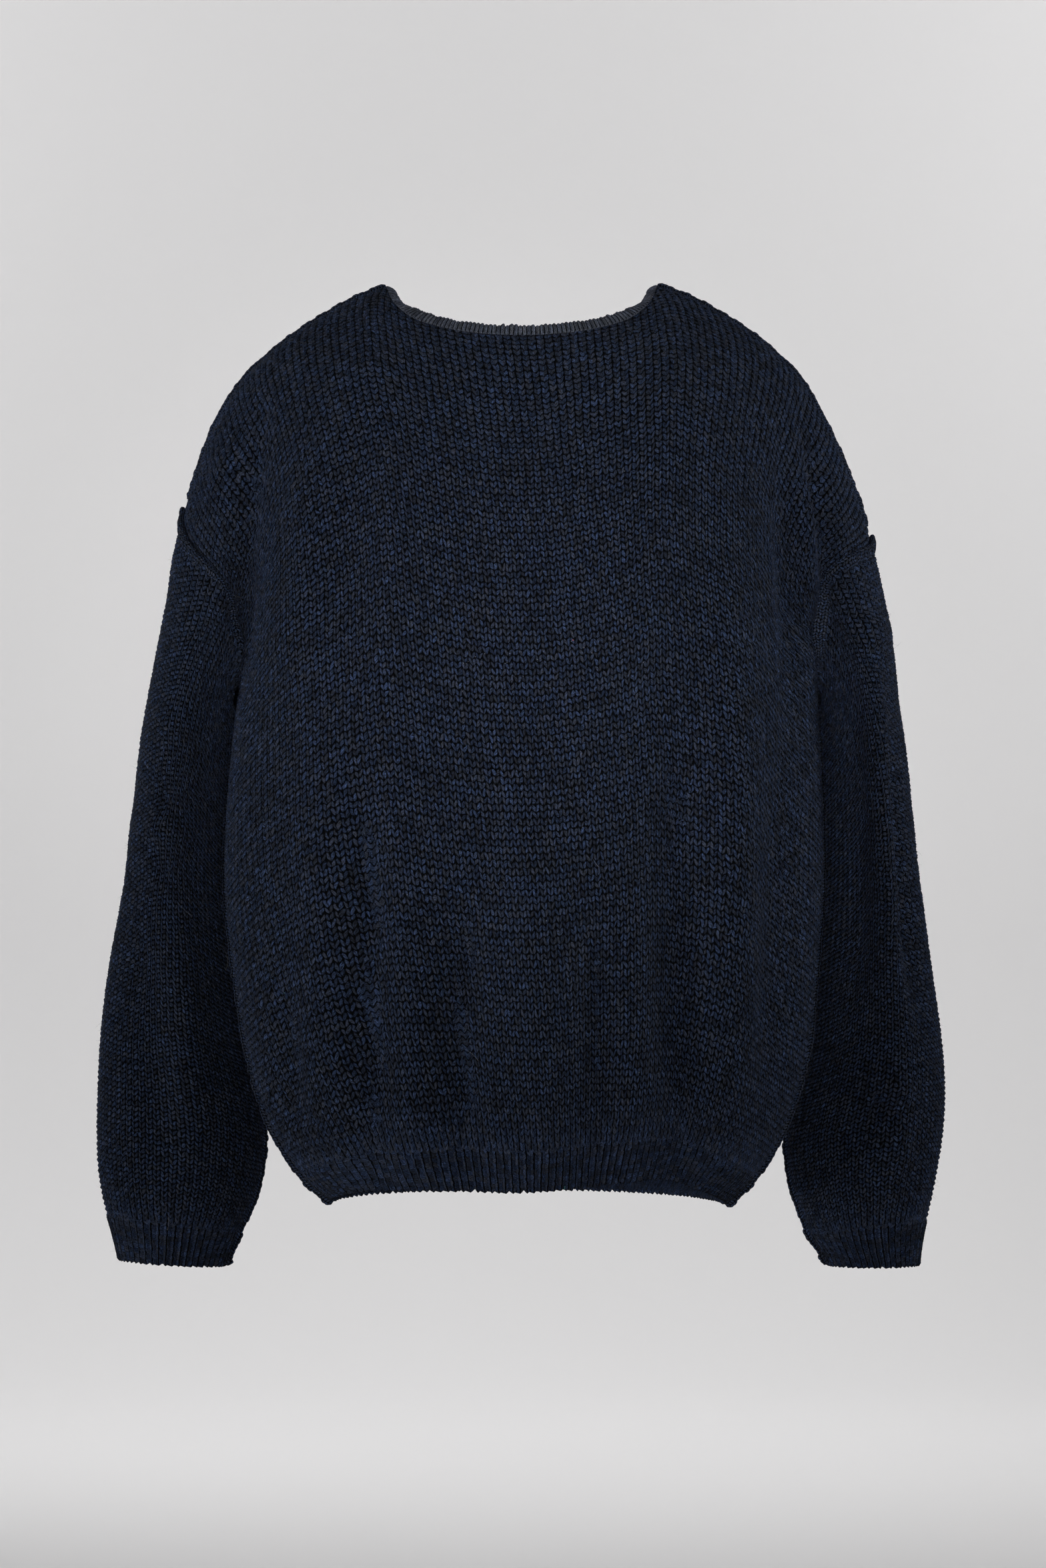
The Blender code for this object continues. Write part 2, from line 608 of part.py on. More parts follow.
def build():
    back, front = panel_grid(1), panel_grid(-1)
    wall("back", back, panel_normals(back))
    wall("front", front, panel_normals(front))
    neckband(back, front)
    shoulder_columns = (ACROSS - NECK_COLUMNS) // 2
    for side, edge, step in (("left", 0, 1), ("right", ACROSS, -1)):
        field = sleeve_field(side)
        sleeve = sleeve_grid(side)
        wall("sleeve_" + side, sleeve, sleeve_normals(sleeve, side), closed=True)

        columns = edge + step * np.arange(shoulder_columns + 1)
        line = back[columns, -1]
        ridge("shoulder_seam_" + side, "shoulder", line, unit(back[columns, -2] - line),
              unit(front[columns, -2] - line), outward(panel_field, line),
              CLEAR["armhole"], CLEAR["neck"])

        rows = np.arange(UP_SIDE + 1)
        line = back[edge, rows]
        ridge("side_seam_" + side, "side", line, unit(back[edge + step, rows] - line),
              unit(front[edge + step, rows] - line), outward(panel_field, line),
              CLEAR["hem"], CLEAR["underarm"])

        low = UP_SIDE + HIDDEN_ARMHOLE_ROWS
        up = np.arange(low, UP_SIDE + UP_ARMHOLE + 1)
        down = up[::-1][1:]
        line = np.vstack([back[edge, up], front[edge, down]])
        into_body = unit(np.vstack([back[edge + step, up], front[edge + step, down]]) - line)
        turns = np.arange(UP_ARMHOLE - HIDDEN_ARMHOLE_ROWS, -UP_ARMHOLE + HIDDEN_ARMHOLE_ROWS - 1,
                          -1)
        into_sleeve = unit(sleeve[turns, 1] - line)
        ridge("armhole_seam_" + side, "armhole", line, into_body, into_sleeve,
              outward(panel_field, line), 0.0, 0.0)

        seam = UP_ARMHOLE
        line = sleeve[seam]
        ridge("sleeve_seam_" + side, "sleeve", line, unit(sleeve[seam - 1] - line),
              unit(sleeve[seam + 1] - line), outward(field, line),
              CLEAR["underarm"], CLEAR["hem"])


for item in list(bpy.data.objects):
    bpy.data.objects.remove(item)
build()
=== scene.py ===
"""Looks of a hollow V-neck sweater: knitted panels, linked seams, yarn, fuzz and studio.

Each panel is a closed shell on the same worn form as its solid. Its outer face is a lattice
of stitches: wales run up the panel, courses run across it, and every stitch has its two legs.
"""

import bpy
import mathutils
import numpy as np
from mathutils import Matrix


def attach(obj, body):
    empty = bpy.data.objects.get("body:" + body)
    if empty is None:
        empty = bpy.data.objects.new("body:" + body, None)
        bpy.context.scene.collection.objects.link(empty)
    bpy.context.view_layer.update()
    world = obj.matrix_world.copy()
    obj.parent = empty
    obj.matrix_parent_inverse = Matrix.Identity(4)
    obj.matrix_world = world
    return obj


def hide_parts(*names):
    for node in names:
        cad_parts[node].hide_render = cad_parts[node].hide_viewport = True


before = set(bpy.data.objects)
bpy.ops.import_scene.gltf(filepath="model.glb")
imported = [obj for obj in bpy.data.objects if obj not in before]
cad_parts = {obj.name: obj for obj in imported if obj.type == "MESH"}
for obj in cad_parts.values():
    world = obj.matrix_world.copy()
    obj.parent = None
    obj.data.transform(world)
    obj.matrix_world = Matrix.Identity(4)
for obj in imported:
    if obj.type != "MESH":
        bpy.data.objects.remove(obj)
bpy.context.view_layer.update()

SIGN = {"left": 1, "right": -1}
TINY = 1e-9
WALL = 0.003                            # thickness of the knitted cloth

# Body oval by height: half-widths to the left and right, depths to the back and front from
# the side seams, and roundness (2 is an ellipse, less is pointed, more is boxy).
BODY = (
    (0.030, 0.030, 0.030, 0.004, 0.004, 2.00),
    (0.018, 0.064, 0.064, 0.016, 0.016, 2.00),
    (0.006, 0.097, 0.099, 0.034, 0.032, 2.00),
    (-0.005, 0.125, 0.128, 0.052, 0.048, 2.00),
    (-0.015, 0.143, 0.146, 0.064, 0.060, 2.02),
    (-0.030, 0.1665, 0.1695, 0.078, 0.074, 2.08),
    (-0.050, 0.190, 0.1915, 0.092, 0.090, 2.20),
    (-0.075, 0.200, 0.200, 0.104, 0.104, 2.35),
    (-0.110, 0.201, 0.203, 0.113, 0.114, 2.50),
    (-0.160, 0.204, 0.209, 0.119, 0.121, 2.55),
    (-0.220, 0.205, 0.214, 0.122, 0.125, 2.55),
    (-0.300, 0.209, 0.217, 0.123, 0.127, 2.50),
    (-0.380, 0.216, 0.221, 0.124, 0.128, 2.45),
    (-0.440, 0.217, 0.221, 0.124, 0.128, 2.40),
    (-0.500, 0.210, 0.216, 0.122, 0.126, 2.35),
    (-0.550, 0.202, 0.211, 0.118, 0.122, 2.25),
    (-0.590, 0.192, 0.201, 0.113, 0.117, 2.15),
    (-0.620, 0.180, 0.189, 0.108, 0.111, 2.00),
    (-0.640, 0.167, 0.177, 0.103, 0.105, 1.88),
    (-0.655, 0.153, 0.164, 0.098, 0.099, 1.78),
    (-0.670, 0.133, 0.147, 0.092, 0.092, 1.70),
    (-0.690, 0.105, 0.120, 0.084, 0.084, 1.70),
)

# Arm ovals by height: outer and inner distance from the middle plane, depth of the middle,
# half depth and roundness.
ARMS = {"left": (
    (-0.030, 0.150, 0.090, 0.000, 0.020, 2.0),
    (-0.058, 0.196, 0.100, 0.000, 0.036, 2.0),
    (-0.088, 0.2205, 0.110, -0.002, 0.049, 2.0),
    (-0.127, 0.2365, 0.120, -0.004, 0.057, 2.1),
    (-0.160, 0.2475, 0.132, -0.007, 0.062, 2.1),
    (-0.190, 0.2555, 0.148, -0.011, 0.066, 2.2),
    (-0.225, 0.2612, 0.170, -0.017, 0.070, 2.2),
    (-0.265, 0.2695, 0.195, -0.026, 0.072, 2.2),
    (-0.300, 0.2765, 0.2125, -0.034, 0.073, 2.2),
    (-0.330, 0.2815, 0.2158, -0.040, 0.073, 2.2),
    (-0.380, 0.2885, 0.2202, -0.045, 0.071, 2.2),
    (-0.440, 0.2980, 0.2212, -0.050, 0.066, 2.2),
    (-0.500, 0.3078, 0.2145, -0.054, 0.059, 2.2),
    (-0.550, 0.3130, 0.2065, -0.057, 0.053, 2.2),
    (-0.590, 0.3150, 0.1965, -0.059, 0.049, 2.2),
    (-0.620, 0.3157, 0.1925, -0.061, 0.046, 2.2),
    (-0.650, 0.3145, 0.1950, -0.063, 0.043, 2.1),
    (-0.675, 0.3100, 0.2030, -0.065, 0.039, 2.1),
    (-0.695, 0.3045, 0.2120, -0.066, 0.035, 2.0),
    (-0.712, 0.3005, 0.2190, -0.067, 0.032, 2.0),
    (-0.730, 0.2980, 0.2240, -0.067, 0.031, 2.0),
), "right": (
    (-0.030, 0.152, 0.090, 0.000, 0.020, 2.0),
    (-0.058, 0.197, 0.100, 0.000, 0.036, 2.0),
    (-0.088, 0.2190, 0.110, -0.002, 0.049, 2.0),
    (-0.127, 0.2375, 0.120, -0.004, 0.057, 2.1),
    (-0.160, 0.2500, 0.134, -0.007, 0.062, 2.1),
    (-0.190, 0.2590, 0.152, -0.011, 0.066, 2.2),
    (-0.225, 0.2671, 0.176, -0.017, 0.070, 2.2),
    (-0.265, 0.2740, 0.203, -0.026, 0.072, 2.2),
    (-0.300, 0.2790, 0.2205, -0.034, 0.073, 2.2),
    (-0.330, 0.2840, 0.2232, -0.040, 0.072, 2.2),
    (-0.380, 0.2903, 0.2252, -0.045, 0.070, 2.2),
    (-0.440, 0.2985, 0.2252, -0.050, 0.066, 2.2),
    (-0.500, 0.3060, 0.2204, -0.054, 0.060, 2.2),
    (-0.550, 0.3120, 0.2154, -0.057, 0.054, 2.2),
    (-0.590, 0.3145, 0.2055, -0.059, 0.049, 2.2),
    (-0.620, 0.3130, 0.1980, -0.061, 0.046, 2.2),
    (-0.650, 0.3085, 0.2000, -0.063, 0.043, 2.1),
    (-0.675, 0.3035, 0.2075, -0.065, 0.039, 2.1),
    (-0.695, 0.2990, 0.2150, -0.066, 0.035, 2.0),
    (-0.712, 0.2965, 0.2260, -0.067, 0.032, 2.0),
    (-0.730, 0.2960, 0.2300, -0.067, 0.031, 2.0),
)}

# How softly the arms run into the body, by height.
BLEND = ((-0.03, 0.010), (-0.08, 0.022), (-0.14, 0.030), (-0.20, 0.026), (-0.25, 0.014),
         (-0.30, 0.005))
UNDERARM_HEIGHT = -0.300
CAP_SLOPE = 2.0                         # how steeply the form closes at its top
LONGEST_MOVE = 0.02                     # that a point makes at once towards the surface
# How far off a ray starts towards the form: over the neck, at a face, a side, an underarm.
ABOVE, BESIDE_FACE, BESIDE_ARM, BELOW = 0.1, 0.3, 0.4, 0.03

# Seam lines on the form, as width from the middle and height. A shoulder is a row of
# heights down to its tip, and the hems run from the left side seam to the right.
NECK_POINT = (0.0995, 0.002)
SHOULDER = {
    "left": (-0.008, -0.022, -0.045, -0.075, -0.110, -0.159),
    "right": (-0.008, -0.022, -0.045, -0.075, -0.115, -0.180),
}
ARMHOLE = {
    "left": ((0.2430, -0.186), (0.2330, -0.198), (0.2220, -0.209), (0.2130, -0.225),
             (0.2070, -0.248)),
    "right": ((0.2530, -0.188), (0.2400, -0.194), (0.2280, -0.204), (0.2190, -0.222),
              (0.2130, -0.248)),
}
UNDERARM_WIDTH = {"left": 0.2122, "right": 0.2200}
BACK_NECK = ((0.090, -0.012), (0.078, -0.0215), (0.062, -0.0275), (0.040, -0.0320),
             (0.018, -0.0340), (0.000, -0.0345))
V_NECK = ((0.096, -0.014), (0.0875, -0.040), (0.074, -0.076), (0.055, -0.115),
          (0.031, -0.152), (0.000, -0.190))
# The courses run up to this line, and the neck edges cut them off below it.
LAST_COURSE = ((0.090, 0.0030), (0.078, 0.0020), (0.062, -0.0005), (0.040, -0.0035),
               (0.018, -0.0052), (0.000, -0.0056))
HEM_BACK = (-0.6664, -0.6620, -0.6563, -0.6539, -0.6538, -0.6535, -0.6499, -0.6444, -0.6549,
            -0.6634, -0.6684)
HEM_FRONT = (-0.6664, -0.6655, -0.6645, -0.6640, -0.6640, -0.6640, -0.6640, -0.6645, -0.6655,
             -0.6672, -0.6684)
UNDERARM_DEPTH = -0.020                 # the side seam starts here, and ends at zero
TIP_DEPTH = -0.006
SHOULDER_DEPTH = -0.002
SIDE_LINE_GAP = 0.012                   # over which the side seam runs into the underarm
CUFF = {"left": (-0.7140, -0.7185), "right": (-0.7180, -0.7180)}  # outer, inner edge

# Grid that carries each panel, as on the solids.
ACROSS = 24
UP_SIDE = 14
UP_ARMHOLE = 10
NECK_COLUMNS = 8
SLEEVE_ROWS = 19
START_BULGE = 0.08                      # depth that a panel's points start with
RELAX_ROUNDS = 40
DENSITY = 24                            # points on each step of a seam line

# Stitches. A wale is a column of stitches and has three columns of points: the groove beside
# it and its two legs. A course is a row of stitches and has two rows of points.
WALES = 112
SLEEVE_WALES = 68
LEG_PLACES = np.array([0.0, 0.29, 0.71])  # where the three points lie in a wale
LEAN = 0.62                             # how far a leg climbs from middle to groove
RIB_COURSES = 8
RIB_POINTS = 4                          # points across one rib
BODY_PITCH = ((0.000, 0.0036), (0.027, 0.0036), (0.036, 0.0051), (0.260, 0.0050),
              (0.450, 0.0046), (0.620, 0.0042))   # height of a course, by length above the hem
SLEEVE_COURSES = 137
# How far each point of a stitch or rib stands out of the cloth.
GROOVE = -0.0010
LEG_TOP = 0.0008
LEG_EDGE = -0.0003
RIB_RELIEF = np.array([-0.0018, 0.0002, 0.0013, 0.0002])
RIB_RIPPLE = 0.00022                    # rise and fall from course to course
STITCH_SIZES = (0.55, 1.35)             # least and most relief of a leg
# How far the points stray, in wales or courses: slowly over the panel, and one by one.
DRIFT = 0.10
WALE_JITTER = 0.045
COURSE_JITTER = 0.05
STEADY_COLUMNS = 6                      # points beside a seam that stray less
SKEW = 0.085                            # how far the wales drift sideways at the hem
LENGTH_STEPS = 240
INNER_STEP = 3                          # the inside face has a point every 3 stitches
SHORTEST_STITCH = 0.35                  # share of a row that a cut may leave
PROBE_ROW = 40                          # a row well inside every panel
SCALLOP = np.array([0.0006, -0.0004, -0.0011, -0.0004])  # edge of a rib, further down
EDGE_TURN = 0.0009                      # how far the open edges turn in
TUCK = 0.0012                           # depth of the crease at a sewn edge
TUCK_WIDTH = 2.5                        # in points of the lattice

# Folds: face (1 back, -1 front, 0 both), height (below zero is a trough), half-width, and
# the stops of its line as (x, z). The first table is for both the body and the sleeves.
FOLD_REACH = 2.8                        # half-widths out to which a fold is felt
FOLD_FADE = 0.30                        # share of its length that fades out
FOLD_END = 0.25                         # what is left of a fold at its ends
FOLD_STEPS = 25
ROUND_SIDE = (0.35, 1.3)                # how a face's folds fade round the sides
SHARED_FOLDS = (
    (1, -0.0150, 0.0095, ((0.188, -0.090), (0.199, -0.150), (0.2045, -0.215), (0.2085, -0.290))),
    (1, 0.0070, 0.0110, ((0.210, -0.110), (0.224, -0.165))),
    (1, -0.0110, 0.0110, ((-0.190, -0.100), (-0.1955, -0.225), (-0.1985, -0.345))),
    (1, 0.0090, 0.0070, ((-0.2070, -0.120), (-0.2110, -0.220), (-0.2115, -0.290))),
    (1, -0.0160, 0.0085, ((-0.2060, -0.088), (-0.2200, -0.165), (-0.2240, -0.230),
                          (-0.2245, -0.292))),
    (-1, -0.0100, 0.0160, ((0.150, -0.120), (0.175, -0.190), (0.192, -0.280))),
    (-1, -0.0110, 0.0160, ((-0.150, -0.120), (-0.176, -0.200), (-0.195, -0.285))),
    (0, -0.0070, 0.0110, ((-0.230, -0.232), (-0.236, -0.246), (-0.242, -0.264))),
    (0, 0.0060, 0.0110, ((-0.250, -0.236), (-0.262, -0.262))),
    (1, -0.0060, 0.0090, ((0.224, -0.238), (0.236, -0.262))),
)
BODY_FOLDS = (
    (1, -0.0090, 0.0420, ((0.062, -0.420), (0.056, -0.620))),
    (1, 0.0048, 0.0420, ((-0.034, -0.300), (-0.036, -0.600))),
    (1, -0.0120, 0.0380, ((-0.108, -0.330), (-0.112, -0.600))),
    (1, -0.0120, 0.0340, ((0.056, -0.084), (0.015, -0.090), (-0.040, -0.084))),
    (1, -0.0070, 0.0180, ((0.100, -0.085), (0.118, -0.160), (0.122, -0.280))),
    (1, -0.0040, 0.0042, ((0.2462, -0.1760), (0.2400, -0.1900), (0.2235, -0.2075),
                          (0.2120, -0.2245), (0.2030, -0.2400))),
    (1, 0.0090, 0.0190, ((0.150, -0.110), (0.163, -0.200), (0.168, -0.300))),
    (1, -0.0070, 0.0150, ((-0.106, -0.245), (-0.090, -0.310), (-0.064, -0.365))),
    (1, -0.0090, 0.0120, ((0.172, -0.500), (0.166, -0.625))),
    (1, 0.0090, 0.0190, ((0.143, -0.330), (0.142, -0.500), (0.136, -0.634))),
    (1, -0.0140, 0.0130, ((0.1090, -0.360), (0.110, -0.500), (0.106, -0.636))),
    (1, 0.0084, 0.0170, ((0.083, -0.420), (0.079, -0.530), (0.076, -0.635))),
    (1, -0.0160, 0.0150, ((0.043, -0.430), (0.041, -0.540), (0.040, -0.636))),
    (1, 0.0128, 0.0180, ((-0.004, -0.370), (-0.011, -0.500), (-0.013, -0.634))),
    (1, -0.0120, 0.0140, ((-0.051, -0.430), (-0.055, -0.540), (-0.053, -0.636))),
    (1, 0.0090, 0.0150, ((-0.083, -0.430), (-0.084, -0.540), (-0.081, -0.634))),
    (1, -0.0110, 0.0170, ((-0.107, -0.240), (-0.113, -0.380), (-0.115, -0.520), (-0.112, -0.636))),
    (1, 0.0160, 0.0190, ((-0.152, -0.170), (-0.155, -0.360), (-0.152, -0.560), (-0.148, -0.635))),
    (1, -0.0160, 0.0190, ((-0.193, -0.330), (-0.190, -0.460), (-0.183, -0.590))),
    (-1, 0.0120, 0.0190, ((0.128, -0.250), (0.124, -0.430), (0.118, -0.625))),
    (-1, -0.0130, 0.0150, ((0.088, -0.400), (0.086, -0.520), (0.082, -0.635))),
    (-1, 0.0100, 0.0180, ((0.052, -0.450), (0.048, -0.630))),
    (-1, -0.0120, 0.0140, ((0.016, -0.380), (0.012, -0.520), (0.014, -0.640))),
    (-1, 0.0130, 0.0190, ((-0.026, -0.400), (-0.028, -0.635))),
    (-1, -0.0110, 0.0150, ((-0.068, -0.450), (-0.070, -0.630))),
    (-1, 0.0120, 0.0180, ((-0.108, -0.360), (-0.110, -0.500), (-0.106, -0.630))),
    (-1, -0.0120, 0.0150, ((-0.150, -0.300), (-0.154, -0.450), (-0.148, -0.600))),
    (-1, -0.0100, 0.0220, ((0.070, -0.210), (0.020, -0.245), (-0.030, -0.250))),
)
SLEEVE_FOLDS = (
    (1, -0.0090, 0.0070, ((0.2160, -0.270), (0.2150, -0.420), (0.2150, -0.560))),
    (1, -0.0090, 0.0130, ((0.226, -0.352), (0.252, -0.370), (0.274, -0.364))),
    (1, 0.0070, 0.0130, ((0.236, -0.386), (0.276, -0.396))),
    (1, -0.0070, 0.0120, ((0.232, -0.418), (0.274, -0.430))),
    (1, 0.0060, 0.0140, ((0.226, -0.300), (0.268, -0.325))),
    (1, -0.0090, 0.0180, ((0.284, -0.440), (0.275, -0.540), (0.262, -0.650))),
    (1, 0.0070, 0.0170, ((0.250, -0.440), (0.246, -0.560), (0.243, -0.650))),
    (1, -0.0050, 0.0130, ((0.226, -0.400), (0.224, -0.520), (0.221, -0.570))),
    (-1, 0.0100, 0.0150, ((0.262, -0.330), (0.268, -0.460), (0.262, -0.600))),
    (-1, -0.0110, 0.0140, ((0.288, -0.380), (0.292, -0.560))),
    (1, -0.0260, 0.0170, ((-0.231, -0.275), (-0.237, -0.430), (-0.242, -0.550))),
    (1, 0.0130, 0.0100, ((-0.256, -0.287), (-0.264, -0.390), (-0.272, -0.500))),
    (1, -0.0150, 0.0090, ((-0.271, -0.300), (-0.280, -0.410), (-0.297, -0.540))),
    (1, 0.0100, 0.0120, ((-0.280, -0.560), (-0.274, -0.660))),
    (1, -0.0070, 0.0120, ((-0.255, -0.590), (-0.285, -0.610))),
    (-1, 0.0100, 0.0150, ((-0.262, -0.330), (-0.270, -0.460), (-0.262, -0.600))),
    (-1, -0.0110, 0.0140, ((-0.288, -0.380), (-0.294, -0.560))),
)

# How the sleeves lean against the body: reach, middle and half-width in depth, the heights
# where it starts and ends, how softly, and the room left to the body.
NESTLE = 0.0075
NESTLE_DEPTH = -0.055
NESTLE_WIDTH = 0.036
NESTLE_TOP = -0.290
NESTLE_START = 0.015
NESTLE_FOOT = -0.57
NESTLE_END = 0.10
NESTLE_CLEAR = 0.0022

# Seam ridges: reach to either side of the seam, and height.
RIDGES = {
    "shoulder": (0.0036, 0.0036, 0.0036),
    "armhole": (0.0024, 0.0085, 0.0045),
    "side": (0.0036, 0.0036, 0.0038),
    "sleeve": (0.0036, 0.0036, 0.0036),
}
HIDDEN_ARMHOLE_ROWS = 3                 # armhole rows at the underarm without a ridge
RIDGE_ROOT = 0.001                      # how deep a ridge is rooted in the cloth
RIDGE_LOOP = 0.0044                     # length of one linked loop
LOOP_POINTS = 4
LOOP_SIZES = (0.80, 1.18)
LOOP_WEAVE = 0.00035                    # how far the loops lie to one side and the other
SEAM_COURSE = 40.0                      # course whose look the ridges take
# How a ridge swells along its line: shares of its length, and its height there.
SWELL = {
    "shoulder": ((0, 0.06, 0.12, 1), (0.9, 0.85, 0.75, 0.75)),
    "armhole": ((0.0, 0.12, 0.32, 0.50, 0.68, 0.88, 1.0), (0.5, 0.8, 1.0, 0.78, 1.0, 0.8, 0.5)),
    "side": ((0, 0.03, 0.1, 1), (1.5, 1.3, 1.0, 1.0)),
    "sleeve": ((0, 0.9, 0.97, 1), (1.0, 1.0, 1.2, 1.4)),
}
# Section of a ridge: place across it (-1 and 1 are the ends of its two reaches) and height.
ROUND = ((-1.0, -0.8), (-1.0, 0.35), (-0.62, 0.85), (0.0, 1.0), (0.62, 0.85), (1.0, 0.35),
         (1.0, -0.8), (0.0, -1.0))
FLAP = ((-0.3, -0.8), (-0.9, 0.10), (-1.25, 0.45), (-1.15, 0.88), (-0.45, 1.05), (0.12, 0.98),
        (0.45, 0.76), (0.75, 0.46), (1.0, 0.10), (1.0, -0.8), (0.2, -1.0))
RIDGE_PROFILE = {"shoulder": ROUND, "side": ROUND, "sleeve": ROUND, "armhole": FLAP}

BAND_HEIGHT = 0.0088
BAND_THICKNESS = 0.0040
BAND_COLUMN = 0.0032                    # width of one knitted column
BAND_POINTS = 4
BAND_RIPPLE = np.array([-0.00045, 0.0002, 0.00045, 0.0002])
BAND_SIZES = (0.9, 1.12)
BAND_TURN = 0.011                       # how near the neck points the band leans in
# Section of the neckband: share of its height, place across its thickness (1 is outside,
# -1 inside) and how much the columns show there.
BAND_PROFILE = (
    (-0.05, 1.05, 0.3), (0.18, 1.30, 1.0), (0.50, 1.35, 1.0), (0.80, 1.15, 1.0),
    (0.97, 0.60, 0.5), (1.04, -0.10, 0.0), (0.97, -0.80, -0.5), (0.75, -1.15, -1.0),
    (0.40, -1.20, -1.0), (0.05, -1.05, -0.3),
)

# Loose fibres, hairs and lint. A hair has its panel, x, z, turn and length.
SEEDS = {"back": 101, "front": 102, "sleeve_left": 103, "sleeve_right": 104,
         "shoulder": 21, "armhole": 22, "side": 23, "sleeve": 24, "band": 31,
         "fuzz": 5, "hairs": 12, "flecks": 3, "places": 8}
FUZZ_COUNT = 14000
BODY_COURSES = 140                      # about, to share out the fibres
TOTAL_STITCHES = 2 * (WALES * BODY_COURSES + SLEEVE_WALES * SLEEVE_COURSES)
FUZZ_SPAN = (0.01, 0.995)               # share of each column that carries fibres
FUZZ_STAND = (0.25, 1.0)
FUZZ_STRAY = 0.6
FUZZ_HANG = 0.4
FUZZ_CURL = 0.45
FUZZ_LENGTHS = (0.0012, 0.0038)
FUZZ_WIDTHS = (0.00005, 0.00011)
LONG_SHARE = 0.06                       # share of fibres that are longer
LONG_TIMES = 1.9
FUZZ_REACH = 0.1410                     # no fibre reaches further to the back or front
RIBBON_FACING = np.array([0.3, 0.9, 0.31])  # fibres turn their flat side this way
LINT_LIFT = 0.0007
HAIR_WIDTH = 0.00016
HAIR_BEND = 0.5
HAIR_ARCH = 0.12
HAIRS = (
    ("sleeve_left", 0.232, -0.470, 1.2, 0.024), ("sleeve_left", 0.220, -0.498, 2.2, 0.016),
    ("sleeve_left", 0.244, -0.455, 0.4, 0.014), ("sleeve_right", -0.222, -0.290, 1.9, 0.012),
    ("sleeve_right", -0.218, -0.286, 0.9, 0.009), ("back", 0.206, -0.228, 0.2, 0.012),
    ("back", 0.100, -0.120, 2.6, 0.010), ("back", -0.055, -0.420, 0.7, 0.011),
    ("back", 0.032, -0.560, 1.1, 0.012), ("sleeve_left", 0.262, -0.690, 2.0, 0.010),
    ("back", -0.120, -0.230, 0.4, 0.009), ("back", 0.170, -0.370, 2.7, 0.010),
)
WHITE_FLECKS = 22
WHITE_SIZE = 0.00024
CLUSTER = ((0.044, -0.292), (-0.090, 0.040), (0.004, 0.010))  # start, reach and spread
FLECK_WIDTHS = (-0.17, 0.17)
FLECK_HEIGHTS = (-0.60, -0.08)
COLOURED_FLECKS = (
    ("red_fleck", (("back", -0.0368, -0.258),), 0.0009, (0.45, 0.03, 0.06)),
    ("teal_flecks", (("back", 0.1735, -0.5116), ("back", -0.030, -0.6495),
                     ("back", -0.0305, -0.6530)), 0.0007, (0.02, 0.22, 0.24)),
    ("blue_fleck", (("sleeve_right", -0.2822, -0.7066),), 0.0006, (0.03, 0.08, 0.60)),
)

# Colours of single fibres in the heather yarn, from the darkest share to the bluest.
HEATHER = (
    (0.10, (0.022, 0.018, 0.016)),
    (0.34, (0.028, 0.031, 0.039)),
    (0.52, (0.017, 0.024, 0.044)),
    (0.80, (0.020, 0.034, 0.075)),
)
PALE_GREY = (0.038, 0.040, 0.045)
# Painted shade: the colour of the gaps and grooves between the yarn, also added under all of it.
GAP_SHADE_COLOUR = (0.0011, 0.0012, 0.0018)
KNIT_GAIN = 0.90
INSIDE_GAIN = 0.85 * KNIT_GAIN
BAND_GAIN = 2.0
SEAM_GAIN = 1.3
FIBRE_COLOURS = (
    ("loose_fibres", (0.012, 0.017, 0.032), (0.05, 0.06, 0.085)),
    ("pale_hairs", (0.12, 0.12, 0.125), (0.26, 0.26, 0.26)),
    ("white_lint", (0.35, 0.35, 0.36), (0.55, 0.55, 0.55)),
)
STRAY = (0.36, 0.70)                    # how far drawn stitches stray across and along
PURL_WAVE = 0.22                        # height of the waves on the inside
RIB_FILL = 0.62                         # how much fuller the yarn of a rib looks
TIGHT_COURSES = (96.0, 130.0)           # courses over which the drawn stitches get tighter
BUMP_DEPTH = 0.0012
# Where soft steps start and are full: the painted shade in the groove beside a wale and on the
# line between its legs, the single fibres, and where thin yarn gives way to the painted shade.
GROOVE_SHADE_STEP = (0.66, 1.0)
MIDDLE_SHADE_STEP = (0.30, 0.0)
FIBRE_STEP = (0.28, 0.72)
GAP_SHADE_STEP = (0.18, 0.80)
RIB_STEP = (RIB_COURSES + 9.0, RIB_COURSES - 3.0)
FIBRE_GRAIN = (4.2, 9.0)                # fibres across a wale and along a leg
CLOUD_GRAIN = (0.10, 0.55)              # long streaks of lighter and darker yarn

# Studio: floor and two walls with curved feet, lamps, air and camera.
FLOOR = -1.494
FLOOR_HALF = 14.0
NEAR_WALL = 8.5
FAR_WALL = -7.5
WALL_TOP = 9.0
BEND = 0.84                             # radius of the curve from floor to wall
PAPER = ((0.90, 0.893, 0.897), (0.915, 0.908, 0.912))
AIR = 0.13
AIR_COLOUR = (1.0, 0.995, 0.99, 1)
# Each lamp: place, aim, size, power and spread in degrees.
LAMPS = (
    ("key", (3.9, 2.5, -0.90), (0.0, 0.0, -0.42), (0.9, 1.0), 50.0, 180),
    ("fill", (-0.1, 4.8, -0.3), (-0.02, 0.0, -0.25), (0.5, 0.5), 0.62, 8),
    ("low_fill", (0.3, 4.4, -1.0), (0.0, 0.0, -0.80), (1.6, 0.3), 0.2, 10),
    ("rim_right", (-2.4, 0.3, 0.1), (-0.27, 0.0, -0.40), (0.5, 1.4), 1.2, 40),
    ("front_light", (1.6, -5.0, 0.9), (0.0, 0.0, -0.35), (1.5, 1.5), 15.0, 60),
    ("wall_left", (3.56, -5.62, 2.75), (0.37, -7.5, 2.95), (1.1, 5.6), 67.5, 150),
    ("wall_right", (-3.56, -5.62, 2.75), (-0.37, -7.5, 2.95), (1.1, 5.6), 62.5, 120),
    ("floor", (0.0, -4.7, 5.9), (0.0, -5.44, -1.56), (4.5, 1.1), 22.5, 54),
)
CAMERA_PLACE = (-0.0010, 4.5, -0.3600)
VIEW_HEIGHT = 1.152                     # height that the camera frames at the sweater
